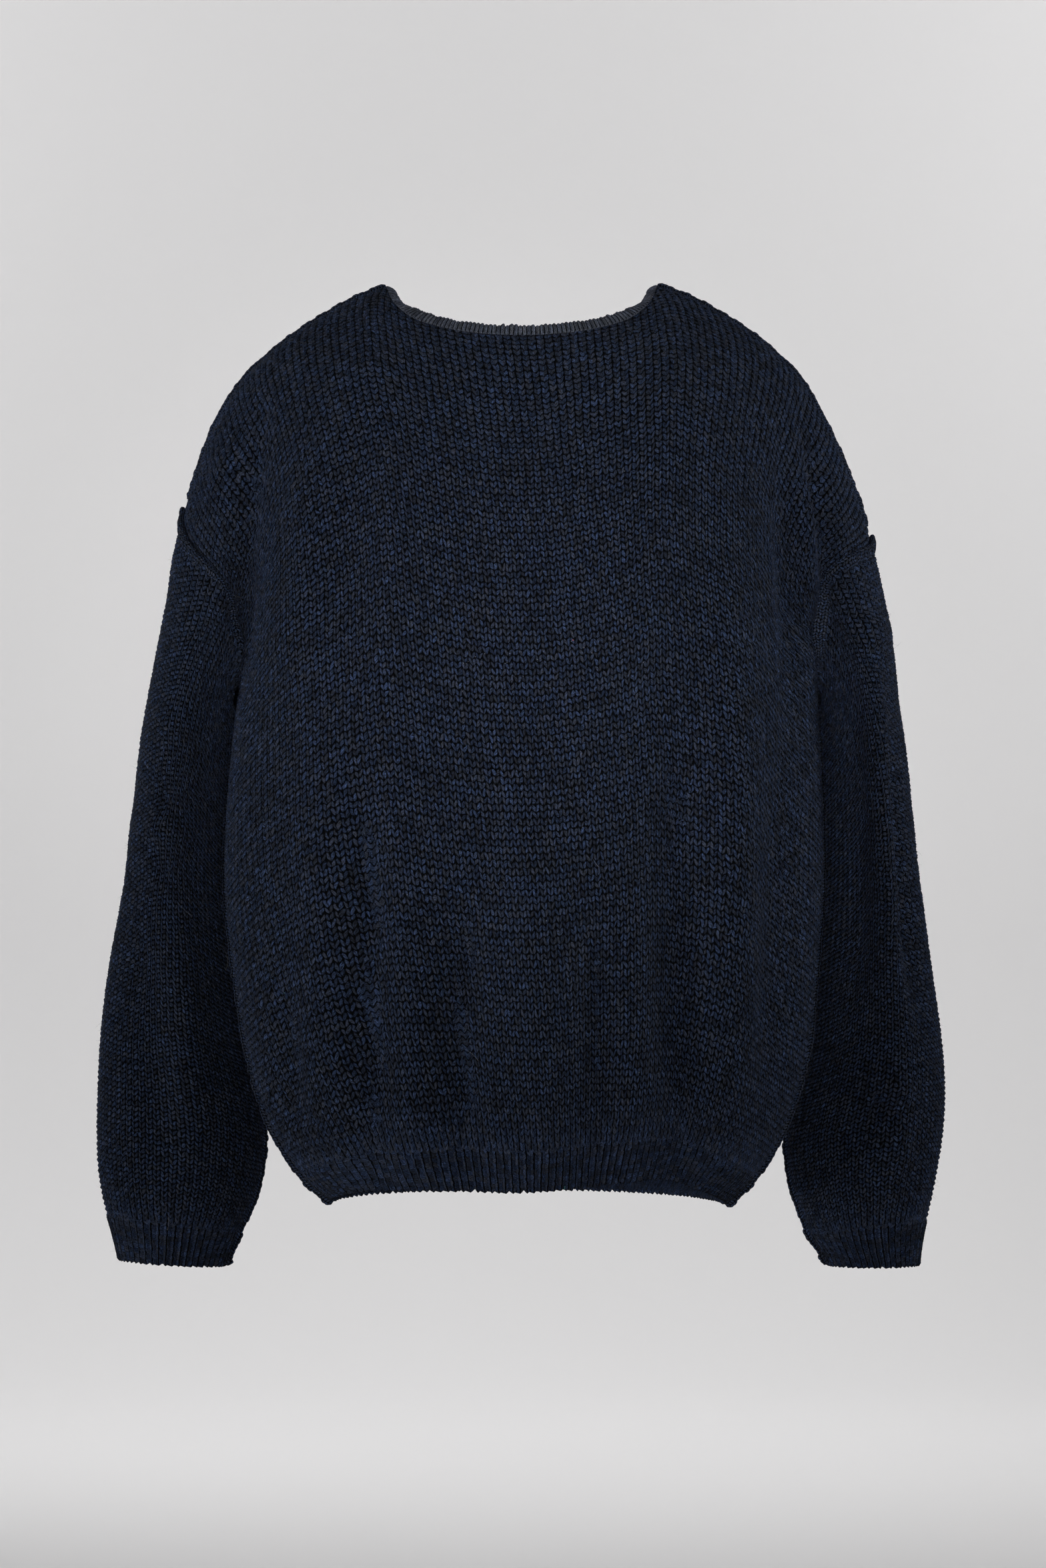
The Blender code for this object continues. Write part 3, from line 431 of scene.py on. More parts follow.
SENSOR = 36.0


# ---------------- the worn form

def smooth_column(rows, z):
    """Read each column of a table at heights z, with a smooth curve through the rows."""
    rows = np.array(rows, float)
    rows = rows[np.argsort(rows[:, 0])]
    heights, values = rows[:, 0], rows[:, 1:]
    slopes = np.gradient(values, heights, axis=0)
    z = np.clip(z, heights[0], heights[-1])
    i = np.clip(np.searchsorted(heights, z) - 1, 0, len(heights) - 2)
    width = heights[i + 1] - heights[i]
    t = ((z - heights[i]) / width)[..., None]
    width = width[..., None]
    return (values[i] * (1 + 2 * t) * (1 - t) ** 2 + slopes[i] * width * t * (1 - t) ** 2
            + values[i + 1] * t * t * (3 - 2 * t) - slopes[i + 1] * width * t * t * (1 - t))


def oval_distance(x, y, half_x, half_y, power):
    """Distance from an oval's edge along the ray from its centre, negative inside."""
    reach = np.hypot(x, y) + TINY
    ratio = (np.abs(x / half_x) ** power + np.abs(y / half_y) ** power) ** (1 / power) + TINY
    return reach - reach / ratio


def body_field(p):
    """Distance from the body's oval, level by level."""
    left, right, back, front, power = np.moveaxis(smooth_column(BODY, p[..., 2]), -1, 0)
    half_x = np.where(p[..., 0] > 0, left, right)
    half_y = np.where(p[..., 1] > 0, back, front)
    above = CAP_SLOPE * np.maximum(0, p[..., 2] - BODY[0][0])
    return oval_distance(p[..., 0], p[..., 1], half_x, half_y, power) + above


def arm_field(p, side):
    """Distance from one arm's oval, level by level."""
    outer, inner, centre, half_y, power = np.moveaxis(smooth_column(ARMS[side], p[..., 2]), -1, 0)
    x = SIGN[side] * p[..., 0] - (outer + inner) / 2
    above = CAP_SLOPE * np.maximum(0, p[..., 2] - ARMS[side][0][0])
    return oval_distance(x, p[..., 1] - centre, (outer - inner) / 2, half_y, power) + above


def worn_field(p):
    """Body and arms as one soft union."""
    body = body_field(p)
    arms = np.minimum(arm_field(p, "left"), arm_field(p, "right"))
    soft = smooth_column(BLEND, p[..., 2])[..., 0]
    share = np.clip(0.5 + 0.5 * (arms - body) / soft, 0, 1)
    return arms * (1 - share) + body * share - soft * share * (1 - share)


def panel_field(p):
    """The form that the body's panels lie on: without the arms below the underarm."""
    return np.where(p[..., 2] < UNDERARM_HEIGHT, body_field(p), worn_field(p))


def sleeve_field(side):
    """The form that a sleeve lies on: the arm alone below the underarm."""
    def field(p):
        return np.where(p[..., 2] < UNDERARM_HEIGHT, arm_field(p, side), worn_field(p))
    return field


def gradient(field, p, step=2e-4):
    parts = []
    for axis in range(3):
        shift = np.zeros(3)
        shift[axis] = step
        parts.append((field(p + shift) - field(p - shift)) / (2 * step))
    return np.stack(parts, -1)


def unit(v):
    return v / np.maximum(np.linalg.norm(v, axis=-1, keepdims=True), TINY)


def outward(field, p):
    return unit(gradient(field, p))


def onto(field, p, rounds=6):
    """Move points along the slope of the field until they lie on its surface."""
    for _ in range(rounds):
        g = gradient(field, p)
        move = field(p)[..., None] * g / np.maximum((g * g).sum(-1, keepdims=True), 1e-6)
        length = np.linalg.norm(move, axis=-1, keepdims=True)
        p = p - move * np.minimum(1, LONGEST_MOVE / np.maximum(length, TINY))
    return p


def first_hit(start, direction, length=0.4, samples=801, halvings=30):
    """The first point of the worn form on a ray that starts outside it."""
    start, direction = np.array(start, float), np.array(direction, float)
    distances = np.linspace(0, length, samples)
    inside = worn_field(start + distances[:, None] * direction) < 0
    k = int(np.argmax(inside))
    low, high = distances[k - 1], distances[k]
    for _ in range(halvings):
        middle = (low + high) / 2
        if worn_field((start + middle * direction)[None])[0] < 0:
            high = middle
        else:
            low = middle
    return start + high * direction


def rounded(wave, power):
    """A sine or cosine bent to the roundness of an oval."""
    return np.sign(wave) * np.abs(wave) ** (2 / power)


# ---------------- seam lines

def run_length(points):
    """Length along a line up to each of its points."""
    return np.r_[0, np.cumsum(np.linalg.norm(np.diff(points, axis=0), axis=1))]


def resample(points, count):
    """Points at equal lengths along a line of points."""
    points = np.asarray(points, float)
    run = run_length(points)
    at = np.linspace(0, run[-1], count + 1)
    return np.stack([np.interp(at, run, points[:, k]) for k in range(3)], -1)


def line_on(field, stops, count):
    """A smooth line through the stops, laid on the surface, in count equal steps."""
    stops = np.asarray(stops, float)
    run = run_length(stops)
    rows = np.column_stack([run, stops])
    dense = smooth_column(rows, np.linspace(0, run[-1], DENSITY * count + 1))
    ends = dense[[0, -1]].copy()
    dense = onto(field, dense)
    dense[[0, -1]] = ends
    return resample(dense, count)


def face_point(side, width, height, face):
    """Where the form is met at a width and height from the back (1) or the front (-1)."""
    return first_hit((SIGN[side] * width, face * BESIDE_FACE, height), (0, -face, 0))


def edge_point(side, depth, height):
    """Where the form is met at a depth and height from one side."""
    return first_hit((SIGN[side] * BESIDE_ARM, depth, height), (-SIGN[side], 0, 0))


def neck_point(side):
    width, height = NECK_POINT
    return first_hit((SIGN[side] * width, 0, height + ABOVE), (0, 0, -1))


def shoulder_tip(side):
    return edge_point(side, TIP_DEPTH, SHOULDER[side][-1])


def underarm(side):
    start = (SIGN[side] * UNDERARM_WIDTH[side], UNDERARM_DEPTH, UNDERARM_HEIGHT - BELOW)
    return first_hit(start, (0, 0, 1), 0.12)


def shoulder_line(side, count):
    stops = [edge_point(side, SHOULDER_DEPTH, height) for height in SHOULDER[side][:-1]]
    return line_on(worn_field, [neck_point(side), *stops, shoulder_tip(side)], count)


def armhole_line(side, face, count):
    """From the underarm up one face of the garment to the shoulder tip."""
    stops = [face_point(side, width, height, face) for width, height in ARMHOLE[side][::-1]]
    return line_on(worn_field, [underarm(side), *stops, shoulder_tip(side)], count)


def neck_line(face, table, count):
    """Across the neck on one face, from the left neck point to the right."""
    halves = []
    for side in SIGN:
        stops = [face_point(side, width, height, face) for width, height in table]
        halves.append(line_on(worn_field, [neck_point(side), *stops], count // 2))
    return np.vstack([halves[0], halves[1][::-1][1:]])


def hem_line(face, count):
    """Along the hem of one face, from the left side seam to the right."""
    heights = HEM_BACK if face > 0 else HEM_FRONT
    turn = np.linspace(0, np.pi, 400)
    z = np.interp(turn, np.linspace(0, np.pi, len(heights)), heights)
    left, right, back, front, power = smooth_column(BODY, z).T
    x = np.where(np.cos(turn) > 0, left, right) * rounded(np.cos(turn), power)
    y = face * (back if face > 0 else front) * rounded(np.sin(turn), power)
    return resample(np.stack([x, y, z], -1), count)


def side_line(side, count):
    """From the hem up the side seam to the underarm."""
    foot = HEM_BACK[0] if side == "left" else HEM_BACK[-1]
    z = np.linspace(foot, UNDERARM_HEIGHT - SIDE_LINE_GAP, 200)
    y = UNDERARM_DEPTH * (z - foot) / (UNDERARM_HEIGHT - foot)
    column = 0 if side == "left" else 1
    x = SIGN[side] * smooth_column(BODY, z)[:, column]
    line = onto(body_field, np.stack([x, y, z], -1))
    line[0] = (x[0], 0, foot)
    return resample(np.vstack([line, underarm(side)]), count)


# ---------------- grids on the form

def relax(plain, grid, field, closed=False):
    """Even out how far a grid on the form has moved from its plain version."""
    for _ in range(RELAX_ROUNDS):
        move = grid - plain
        if closed:
            across = np.roll(move, 1, 0) + np.roll(move, -1, 0)
            mean = (across[:, 1:-1] + move[:, :-2] + move[:, 2:]) / 4
            grid[:, 1:-1] = onto(field, plain[:, 1:-1] + mean, 1)
        else:
            mean = (move[:-2, 1:-1] + move[2:, 1:-1] + move[1:-1, :-2] + move[1:-1, 2:]) / 4
            grid[1:-1, 1:-1] = onto(field, plain[1:-1, 1:-1] + mean, 1)
    return grid


def panel_grid(face):
    """Points of the front or back panel, left to right and hem to the last course."""
    shoulder_columns = (ACROSS - NECK_COLUMNS) // 2
    sides = {}
    tops = {}
    for side in SIGN:
        sides[side] = np.vstack([side_line(side, UP_SIDE),
                                 armhole_line(side, face, UP_ARMHOLE)[1:]])
        tops[side] = shoulder_line(side, shoulder_columns)[::-1]
    neck = neck_line(face, LAST_COURSE, NECK_COLUMNS)
    top = np.vstack([tops["left"][:-1], neck, tops["right"][::-1][1:]])
    hem = hem_line(face, ACROSS)
    s = np.linspace(0, 1, ACROSS + 1)[:, None, None]
    t = np.linspace(0, 1, UP_SIDE + UP_ARMHOLE + 1)[None, :, None]
    corners = ((1 - s) * (1 - t) * hem[0] + s * (1 - t) * hem[-1]
               + (1 - s) * t * top[0] + s * t * top[-1])
    plain = ((1 - s) * sides["left"][None] + s * sides["right"][None]
             + (1 - t) * hem[:, None] + t * top[:, None] - corners)
    grid = plain.copy()
    grid[1:-1, 1:-1, 1] += face * START_BULGE * (np.sin(np.pi * s) ** 0.5)[1:-1, :, 0]
    grid[1:-1, 1:-1] = onto(panel_field, grid[1:-1, 1:-1], 12)
    grid = relax(plain, grid, panel_field)
    return relax(np.zeros(grid.shape), grid, panel_field)


def sleeve_grid(side):
    """Points of a sleeve, round it from the shoulder tip and down to the cuff."""
    back = armhole_line(side, 1, UP_ARMHOLE)[::-1]
    front = armhole_line(side, -1, UP_ARMHOLE)
    loop = np.vstack([back, front[1:-1]])
    turn = np.linspace(0, 2 * np.pi, len(loop), endpoint=False)
    outer_end, inner_end = CUFF[side]
    end = outer_end + (inner_end - outer_end) * (1 - np.cos(turn)) / 2
    down = np.linspace(0, 1, SLEEVE_ROWS + 1)
    z = loop[:, 2:3] * (1 - down) + end[:, None] * down
    outer, inner, centre, half_y, power = np.moveaxis(smooth_column(ARMS[side], z), -1, 0)
    x = (outer + inner) / 2 + (outer - inner) / 2 * rounded(np.cos(turn)[:, None], power)
    y = centre + half_y * rounded(np.sin(turn)[:, None], power)
    grid = np.stack([SIGN[side] * x, y, z], -1)
    field = sleeve_field(side)
    shift = (loop - grid[:, 0])[:, None] * np.maximum(0, 1 - 3 * down)[None, :, None]
    plain = grid + shift
    return relax(plain, onto(field, plain), field, closed=True)


def curve_weights(f):
    """Shares of four neighbouring points on a smooth curve, a fraction f past the second."""
    return np.stack([((2 - f) * f - 1) * f, (3 * f - 5) * f * f + 2,
                     ((4 - 3 * f) * f + 1) * f, (f - 1) * f * f], -1) / 2


def padded_grid(grid, closed):
    """A grid with one more point past each edge."""
    if closed:
        grid = np.concatenate([grid[-1:], grid, grid[:2]])
    else:
        grid = np.concatenate([2 * grid[:1] - grid[1:2], grid, 2 * grid[-1:] - grid[-2:-1]])
    return np.concatenate([2 * grid[:, :1] - grid[:, 1:2], grid,
                           2 * grid[:, -1:] - grid[:, -2:-1]], axis=1)


def read_grid(grid, u, v, closed=False):
    """Points of the smooth sheet through a grid, at column u and row v."""
    columns, rows = grid.shape[:2]
    wide = padded_grid(grid, closed)
    last = columns - 1 if closed else columns - 2
    i = np.clip(np.floor(u).astype(int), 0, last)
    j = np.clip(np.floor(v).astype(int), 0, rows - 2)
    across, up = curve_weights(u - i), curve_weights(v - j)
    total = 0.0
    for a in range(4):
        for b in range(4):
            share = (across[..., a] * up[..., b])[..., None]
            total = total + share * wide[i + a, j + b]
    return total


# ---------------- folds

def rise_near(stops, x, z, width):
    """How strongly a fold's line is felt at each point, from 0 to 1."""
    run = run_length(stops)
    at = np.linspace(0, run[-1], FOLD_STEPS)
    path = smooth_column(np.column_stack([run, stops]), at)
    distance = np.full(x.shape, 9.0)
    along = np.zeros(x.shape)
    for place, (px, pz) in zip(at / run[-1], path):
        d = np.hypot(x - px, z - pz)
        nearer = d < distance
        distance = np.where(nearer, d, distance)
        along = np.where(nearer, place, along)
    ends = np.clip(np.minimum(along, 1 - along) / FOLD_FADE, 0, 1)
    ends = FOLD_END + (1 - FOLD_END) * ends * ends * (3 - 2 * ends)
    return np.exp(-(distance / width) ** 2) * ends


def fold_rise(points, normals, own=BODY_FOLDS):
    """Height that the folds add along the normals."""
    x, z = points[..., 0], points[..., 2]
    total = np.zeros(x.shape)
    for face, height, width, line in SHARED_FOLDS + own:
        stops = np.asarray(line, float)
        low, high = stops.min(0) - FOLD_REACH * width, stops.max(0) + FOLD_REACH * width
        near = (x > low[0]) & (x < high[0]) & (z > low[1]) & (z < high[1])
        if not near.any():
            continue
        facing = ROUND_SIDE[0] + ROUND_SIDE[1] * face * normals[..., 1][near]
        share = 1.0 if face == 0 else np.clip(facing, 0, 1)
        total[near] += height * share * rise_near(stops, x[near], z[near], width)
    return total


def nestle(points, normals, side):
    """How far a sleeve leans against the body beside it, just in front of the side seam."""
    towards = np.clip(-SIGN[side] * normals[..., 0], 0, 1)
    depth = np.exp(-((points[..., 1] - NESTLE_DEPTH) / NESTLE_WIDTH) ** 2)
    z = points[..., 2]
    window = (np.clip((NESTLE_TOP - z) / NESTLE_START, 0, 1)
              * np.clip((z - NESTLE_FOOT) / NESTLE_END, 0, 1))
    room = np.maximum(body_field(points) - NESTLE_CLEAR, 0)
    return np.minimum(NESTLE * towards * depth * window, room)


def piece_rise(lattice, side):
    """Height of folds on a panel, and how a sleeve leans in."""
    points, normals = lattice["point"], lattice["normal"]
    if not side:
        return fold_rise(points, normals)
    towards = np.clip(-SIGN[side] * normals[..., 0], 0, 1)
    return (fold_rise(points, normals, SLEEVE_FOLDS) * (1 - towards)
            + nestle(points, normals, side))


# ---------------- stitches

def smooth_noise(rng, shape, cells):
    """Random values from -1 to 1 that change smoothly over a lattice of the given shape."""
    coarse = rng.uniform(-1, 1, (cells[0] + 1, cells[1] + 1, 1))
    u = np.linspace(0, cells[0], shape[0])[:, None] + np.zeros(shape)
    v = np.linspace(0, cells[1], shape[1])[None, :] + np.zeros(shape)
    return read_grid(coarse, u, v)[..., 0]


def course_shares(grid, side):
    """Share of a column's length at the start of every course, and the number of courses."""
    if side:
        return np.linspace(0, 1, SLEEVE_COURSES + 1), SLEEVE_COURSES
    rows = np.linspace(0, UP_SIDE + UP_ARMHOLE, 800)
    middle = onto(panel_field, read_grid(grid, np.full(rows.shape, ACROSS / 2), rows), 2)
    length = run_length(middle)
    heights, pitch = np.array(BODY_PITCH).T
    course = np.r_[0, np.cumsum(np.diff(length) / np.interp(length[1:], heights, pitch))]
    count = int(round(course[-1]))
    course *= count / course[-1]
    return np.interp(np.arange(count + 1), course, length / length[-1]), count


def row_table(grid, side):
    """Grid row of each column at even shares of its length."""
    columns, rows = grid.shape[:2]
    fine = np.linspace(0, rows - 1, 4 * LENGTH_STEPS)
    if side:
        fine = fine[::-1]
    table = np.empty((columns, LENGTH_STEPS + 1, 1))
    for i in range(columns):
        run = run_length(read_grid(grid, np.full(len(fine), float(i)), fine, bool(side)))
        table[i, :, 0] = np.interp(np.linspace(0, run[-1], LENGTH_STEPS + 1), run, fine)
    return table


def grid_places(grid, side, share, course):
    """Grid column and row of each point of a lattice, with the drift of the body's wales."""
    shares, courses = course_shares(grid, side)
    along = np.interp(course, np.arange(courses + 1), shares) * LENGTH_STEPS
    if side:
        column = (UP_ARMHOLE + share * 2 * UP_ARMHOLE) % (2 * UP_ARMHOLE)
    else:
        fade = 1 - np.clip((course - RIB_COURSES) / (courses - RIB_COURSES), 0, 1)
        column = (share + SKEW * np.sin(np.pi * np.clip(share, 0, 1)) * fade) * ACROSS
    row = read_grid(row_table(grid, side), column, along, bool(side))[..., 0]
    return column, row.clip(0, grid.shape[1] - 1)


def stitch_lattice(grid, side, seed):
    """Places of all outer points of one panel, in grid and stitch measures.

    The arrays hold one row for each column of points: wale place, course place, grid column
    and grid row, and how far the point stands out.
    """
    rng = np.random.default_rng(seed)
    wales = SLEEVE_WALES if side else WALES
    courses = course_shares(grid, side)[1]
    columns = 3 * wales + 1
    k = np.arange(columns)
    wale = k // 3 + LEG_PLACES[k % 3]
    groove = k % 3 == 0
    edge = np.abs(2 * (wale % 1) - 1)
    j = np.arange(2 * courses + 1)
    shape = (columns, len(j))
    course = j / 2 + LEAN * (edge[:, None] - 0.5) + np.zeros(shape)
    course[:, 0] = 0
    course[:, -1] = courses
    course = np.clip(course, 0, courses)

    rib = np.clip(RIB_COURSES + 1 - course, 0, 1)
    place = wale[:, None] * (1 - rib) + (k / 3)[:, None] * rib
    stitch = rng.uniform(*STITCH_SIZES, (wales + 1, courses + 2, 2))
    leg = stitch[(k // 3)[:, None], (j // 2)[None, :], (k % 3 == 2).astype(int)[:, None]]
    crest = (j % 2 == 1)[None, :]
    legs = np.where(crest, LEG_TOP * leg, LEG_EDGE * leg)
    relief = np.where(groove[:, None], GROOVE * (0.75 + 0.25 * leg), legs)
    ribs = RIB_RELIEF[k % RIB_POINTS][:, None] + np.where(crest, RIB_RIPPLE, -RIB_RIPPLE) * leg
    relief = relief * (1 - rib) + ribs * rib

    drift = DRIFT * smooth_noise(rng, shape, (wales // 5, courses // 6))
    jitter = rng.normal(0, WALE_JITTER, shape) * (1 - rib)
    rise_jitter = rng.normal(0, COURSE_JITTER, shape) * (1 - rib)
    inside = np.minimum(1, np.minimum(k, columns - 1 - k) / STEADY_COLUMNS)[:, None]
    share = (place + (drift + jitter) * inside) / wales
    within = (course + rise_jitter * ((j > 1) & (j < 2 * courses - 1))).clip(0, courses)
    column, row = grid_places(grid, side, share, within)
    return {"wale": place, "course": course, "column": column, "row": row, "relief": relief,
            "wales": wales, "courses": courses}


def coarse_lattice(grid, side, fine):
    """The inside face: a point every few stitches, without relief."""
    wales, courses = fine["wales"], fine["courses"]
    columns = wales // INNER_STEP + 1
    rows = int(np.ceil(courses / INNER_STEP)) + 1
    wale = np.linspace(0, wales, columns)[:, None] + np.zeros((columns, rows))
    course = np.linspace(0, courses, rows)[None, :] + np.zeros((columns, rows))
    column, row = grid_places(grid, side, wale / wales, course)
    return {"wale": wale, "course": course, "column": column, "row": row,
            "relief": np.zeros(wale.shape), "wales": wales, "courses": courses}


def lay(lattice, grid, side):
    """Add the place on the form, and the normal, of every point of a lattice."""
    field = sleeve_field(side) if side else panel_field
    plain = read_grid(grid, lattice["column"], lattice["row"], bool(side))
    lattice["point"] = onto(field, plain, 2)
    lattice["normal"] = outward(field, lattice["point"])
    return lattice


def trim(lattice, neck):
    """Number of the last row in each column, with that row moved to the neck edge."""
    columns, rows = lattice["course"].shape
    last = np.full(columns, rows - 1)
    if neck is None:
        return last
    order = np.argsort(neck[:, 0])
    x, z = lattice["point"][..., 0], lattice["point"][..., 2]
    edge = np.interp(x, neck[order, 0], neck[order, 2])
    within = (x > neck[:, 0].min()) & (x < neck[:, 0].max())
    over = np.where(within, z - edge, -1.0)
    for i in np.nonzero((over > 0).any(1))[0]:
        j = int(np.argmax(over[i] > 0))
        f = -over[i, j - 1] / (over[i, j] - over[i, j - 1])
        row = j if f > SHORTEST_STITCH else j - 1
        for name in ("point", "normal", "course", "wale"):
            values = lattice[name]
            values[i, row] = values[i, j - 1] * (1 - f) + values[i, j] * f
        lattice["relief"][i, row] = LEG_EDGE
        last[i] = row
    return last


# ---------------- meshes

class Shell:
    """Collects points and faces, with two places on flat maps for each corner."""

    def __init__(self, slots):
        self.points = []
        self.count = 0
        self.faces = []
        self.slots = slots

    def add_points(self, points):
        """Number of the first point added."""
        points = np.asarray(points, float).reshape(-1, 3)
        self.points.append(points)
        self.count += len(points)
        return self.count - len(points)

    def add_faces(self, corners, stitch, flat, slot=0):
        """Faces as rows of point numbers, with the same shape of map places."""
        self.faces.append((np.asarray(corners), np.asarray(stitch, float),
                           np.asarray(flat, float), slot))

    def build(self, name, flip=False):
        step = -1 if flip else 1
        points = np.concatenate(self.points)
        sizes = np.concatenate([np.full(len(c), c.shape[1]) for c, _, _, _ in self.faces])
        slots = np.concatenate([np.full(len(c), s) for c, _, _, s in self.faces])
        loops = np.concatenate([c[:, ::step].ravel() for c, _, _, _ in self.faces])
        mesh = bpy.data.meshes.new(name)
        mesh.vertices.add(len(points))
        mesh.vertices.foreach_set("co", points.astype(np.float32).ravel())
        mesh.loops.add(len(loops))
        mesh.loops.foreach_set("vertex_index", loops.astype(np.int32))
        mesh.polygons.add(len(sizes))
        starts = np.r_[0, np.cumsum(sizes)[:-1]]
        mesh.polygons.foreach_set("loop_start", starts.astype(np.int32))
        mesh.polygons.foreach_set("material_index", slots.astype(np.int32))
        mesh.update(calc_edges=True)
        for layer, part in (("OFBake", 2), ("stitch", 1)):
            places = np.concatenate([face[part][:, ::step].reshape(-1, 2) for face in self.faces])
            data = mesh.uv_layers.new(name=layer, do_init=False)
            data.uv.foreach_set("vector", places.astype(np.float32).ravel())
        mesh.uv_layers.active = mesh.uv_layers["OFBake"]
        mesh.shade_smooth()
        item = bpy.data.objects.new(name, mesh)
        bpy.context.collection.objects.link(item)
        for material in self.slots:
            mesh.materials.append(material)
        return item


def sheet_faces(shell, ids, last, stitch, flat, slot, turn=1):
    """Faces between neighbouring columns of points, with fans where one column is longer."""
    quads, fans = [], []
    for i in range(len(ids) - 1):
        na, nb = last[i], last[i + 1]
        low = min(na, nb)
        j = np.arange(low)
        place = np.stack([np.full(low, i), j, np.full(low, i + 1), j,
                          np.full(low, i + 1), j + 1, np.full(low, i), j + 1], 1)
        quads.append(place.reshape(-1, 4, 2))
        for extra in range(low, max(na, nb)):
            if na > nb:
                fans.append(((i, extra), (i + 1, nb), (i, extra + 1)))
            else:
                fans.append(((i, na), (i + 1, extra), (i + 1, extra + 1)))
    for group in (np.concatenate(quads), np.array(fans).reshape(-1, 3, 2)):
        if len(group):
            column, row = np.moveaxis(group[:, ::turn], -1, 0)
            shell.add_faces(ids[column, row], stitch(column, row), flat(column, row), slot)


def zip_edges(shell, a, b, at_a, at_b, strip):
    """Triangles of the rim between an outer and an inner edge."""
    i = j = 0
    corners, stitch, flat = [], [], []
    while i < len(a) - 1 or j < len(b) - 1:
        step_a = j == len(b) - 1 or (i < len(a) - 1 and at_a[i + 1] <= at_b[j + 1])
        if step_a:
            corners.append((a[i + 1], a[i], b[j]))
            places = ((at_a[i + 1], 0.0), (at_a[i], 0.0), (at_b[j], 1.0))
            i += 1
        else:
            corners.append((a[i], b[j], b[j + 1]))
            places = ((at_a[i], 0.0), (at_b[j], 1.0), (at_b[j + 1], 1.0))
            j += 1
        stitch.append([(p * len(a) / 3, q * 0.5 + 0.2) for p, q in places])
        flat.append([(0.52 + 0.46 * p, 0.985 - 0.025 * (strip + 0.8 * q)) for p, q in places])
    shell.add_faces(np.array(corners), stitch, flat)


def edge_run(points):
    run = run_length(points)
    return run / run[-1]


def outline(last, closed):
    """Columns and rows of the points on the hem, the top and, where open, both sides."""
    columns = np.arange(len(last))
    edges = [(columns, 0 * columns), (columns[::-1], last[::-1])]
    if not closed:
        right, left = np.arange(last[-1] + 1), np.arange(last[0] + 1)
        edges += [(0 * right + columns[-1], right), (0 * left, left[::-1])]
    return edges


def scallop(lattice, outer):
    """Round off the open edge: the loops of each rib stand a little lower at the edge."""
    down = unit(lattice["point"][:, 0] - lattice["point"][:, 2])
    low = SCALLOP[np.arange(len(outer)) % RIB_POINTS][:, None]
    outer[:, 0] -= down * low + lattice["normal"][:, 0] * EDGE_TURN
    outer[:, 1] -= 0.5 * down * low
    return outer


def tuck(outer, lattice, last, side):
    """Pull the sewn edges a little into the cloth, so that the seam is a crease."""
    k = np.arange(len(outer))
    depth = np.zeros(outer.shape[:2])
    if not side:
        near = np.minimum(k, len(outer) - 1 - k)
        depth += TUCK * np.exp(-(near / TUCK_WIDTH) ** 2)[:, None]
    from_top = last[:, None] - np.arange(outer.shape[1])[None, :]
    depth += TUCK * np.exp(-(np.maximum(from_top, 0) / TUCK_WIDTH) ** 2)
    return outer - lattice["normal"] * depth[..., None]


def knit_panel(name, grid, side, seed, slots, neck=None):
    """One closed shell: stitches outside, a plain face inside and rims between them.

    The flat map has the outside in its lower four fifths, the inside above it at the left
    and the rims as thin strips at the right.
    """
    fine = lay(stitch_lattice(grid, side, seed), grid, side)
    coarse = lay(coarse_lattice(grid, side, fine), grid, side)
    if side:
        for lattice in (fine, coarse):
            for key in ("point", "normal", "relief"):
                lattice[key][-1] = lattice[key][0]
    last, inner_last = trim(fine, neck), trim(coarse, neck)
    fine["rise"] = piece_rise(fine, side) + fine["relief"]
    outer = fine["point"] + fine["normal"] * fine["rise"][..., None]
    outer = scallop(fine, tuck(outer, fine, last, side))
    inner_rise = piece_rise(coarse, side) - WALL
    inner = coarse["point"] + coarse["normal"] * inner_rise[..., None]

    shell = Shell(slots)
    ids, inner_ids = (shell.add_points(points) + np.arange(points[..., 0].size).reshape(
        points.shape[:2]) for points in (outer, inner))
    if side:
        ids[-1], inner_ids[-1] = ids[0], inner_ids[0]
    wales, courses = fine["wales"], fine["courses"]

    def fine_stitch(column, row):
        ribbed = row.max(1, keepdims=True) <= 2 * RIB_COURSES + 1
        u = np.where(ribbed, column / RIB_POINTS + 0.5, fine["wale"][column, row])
        return np.stack([u, fine["course"][column, row]], -1)

    def fine_flat(column, row):
        return np.stack([0.01 + 0.98 * column / (3 * wales),
                         0.01 + 0.80 * fine["course"][column, row] / courses], -1)

    def coarse_stitch(column, row):
        return np.stack([coarse["wale"][column, row], coarse["course"][column, row]], -1)

    def coarse_flat(column, row):
        return np.stack([0.01 + 0.48 * coarse["wale"][column, row] / wales,
                         0.83 + 0.16 * coarse["course"][column, row] / courses], -1)

    sheet_faces(shell, ids, last, fine_stitch, fine_flat, 0)
    sheet_faces(shell, inner_ids, inner_last, coarse_stitch, coarse_flat, 1, turn=-1)
    for strip, (a, b) in enumerate(zip(outline(last, side), outline(inner_last, side))):
        zip_edges(shell, ids[a], inner_ids[b], edge_run(fine["point"][a]),
                  edge_run(coarse["point"][b]), strip)

    here = fine["point"][1, PROBE_ROW]
    across, up = fine["point"][2, PROBE_ROW] - here, fine["point"][1, PROBE_ROW + 1] - here
    flip = np.dot(np.cross(across, up), fine["normal"][1, PROBE_ROW]) < 0
    return shell.build(name, flip), (fine, last)


# ---------------- seams and neckband

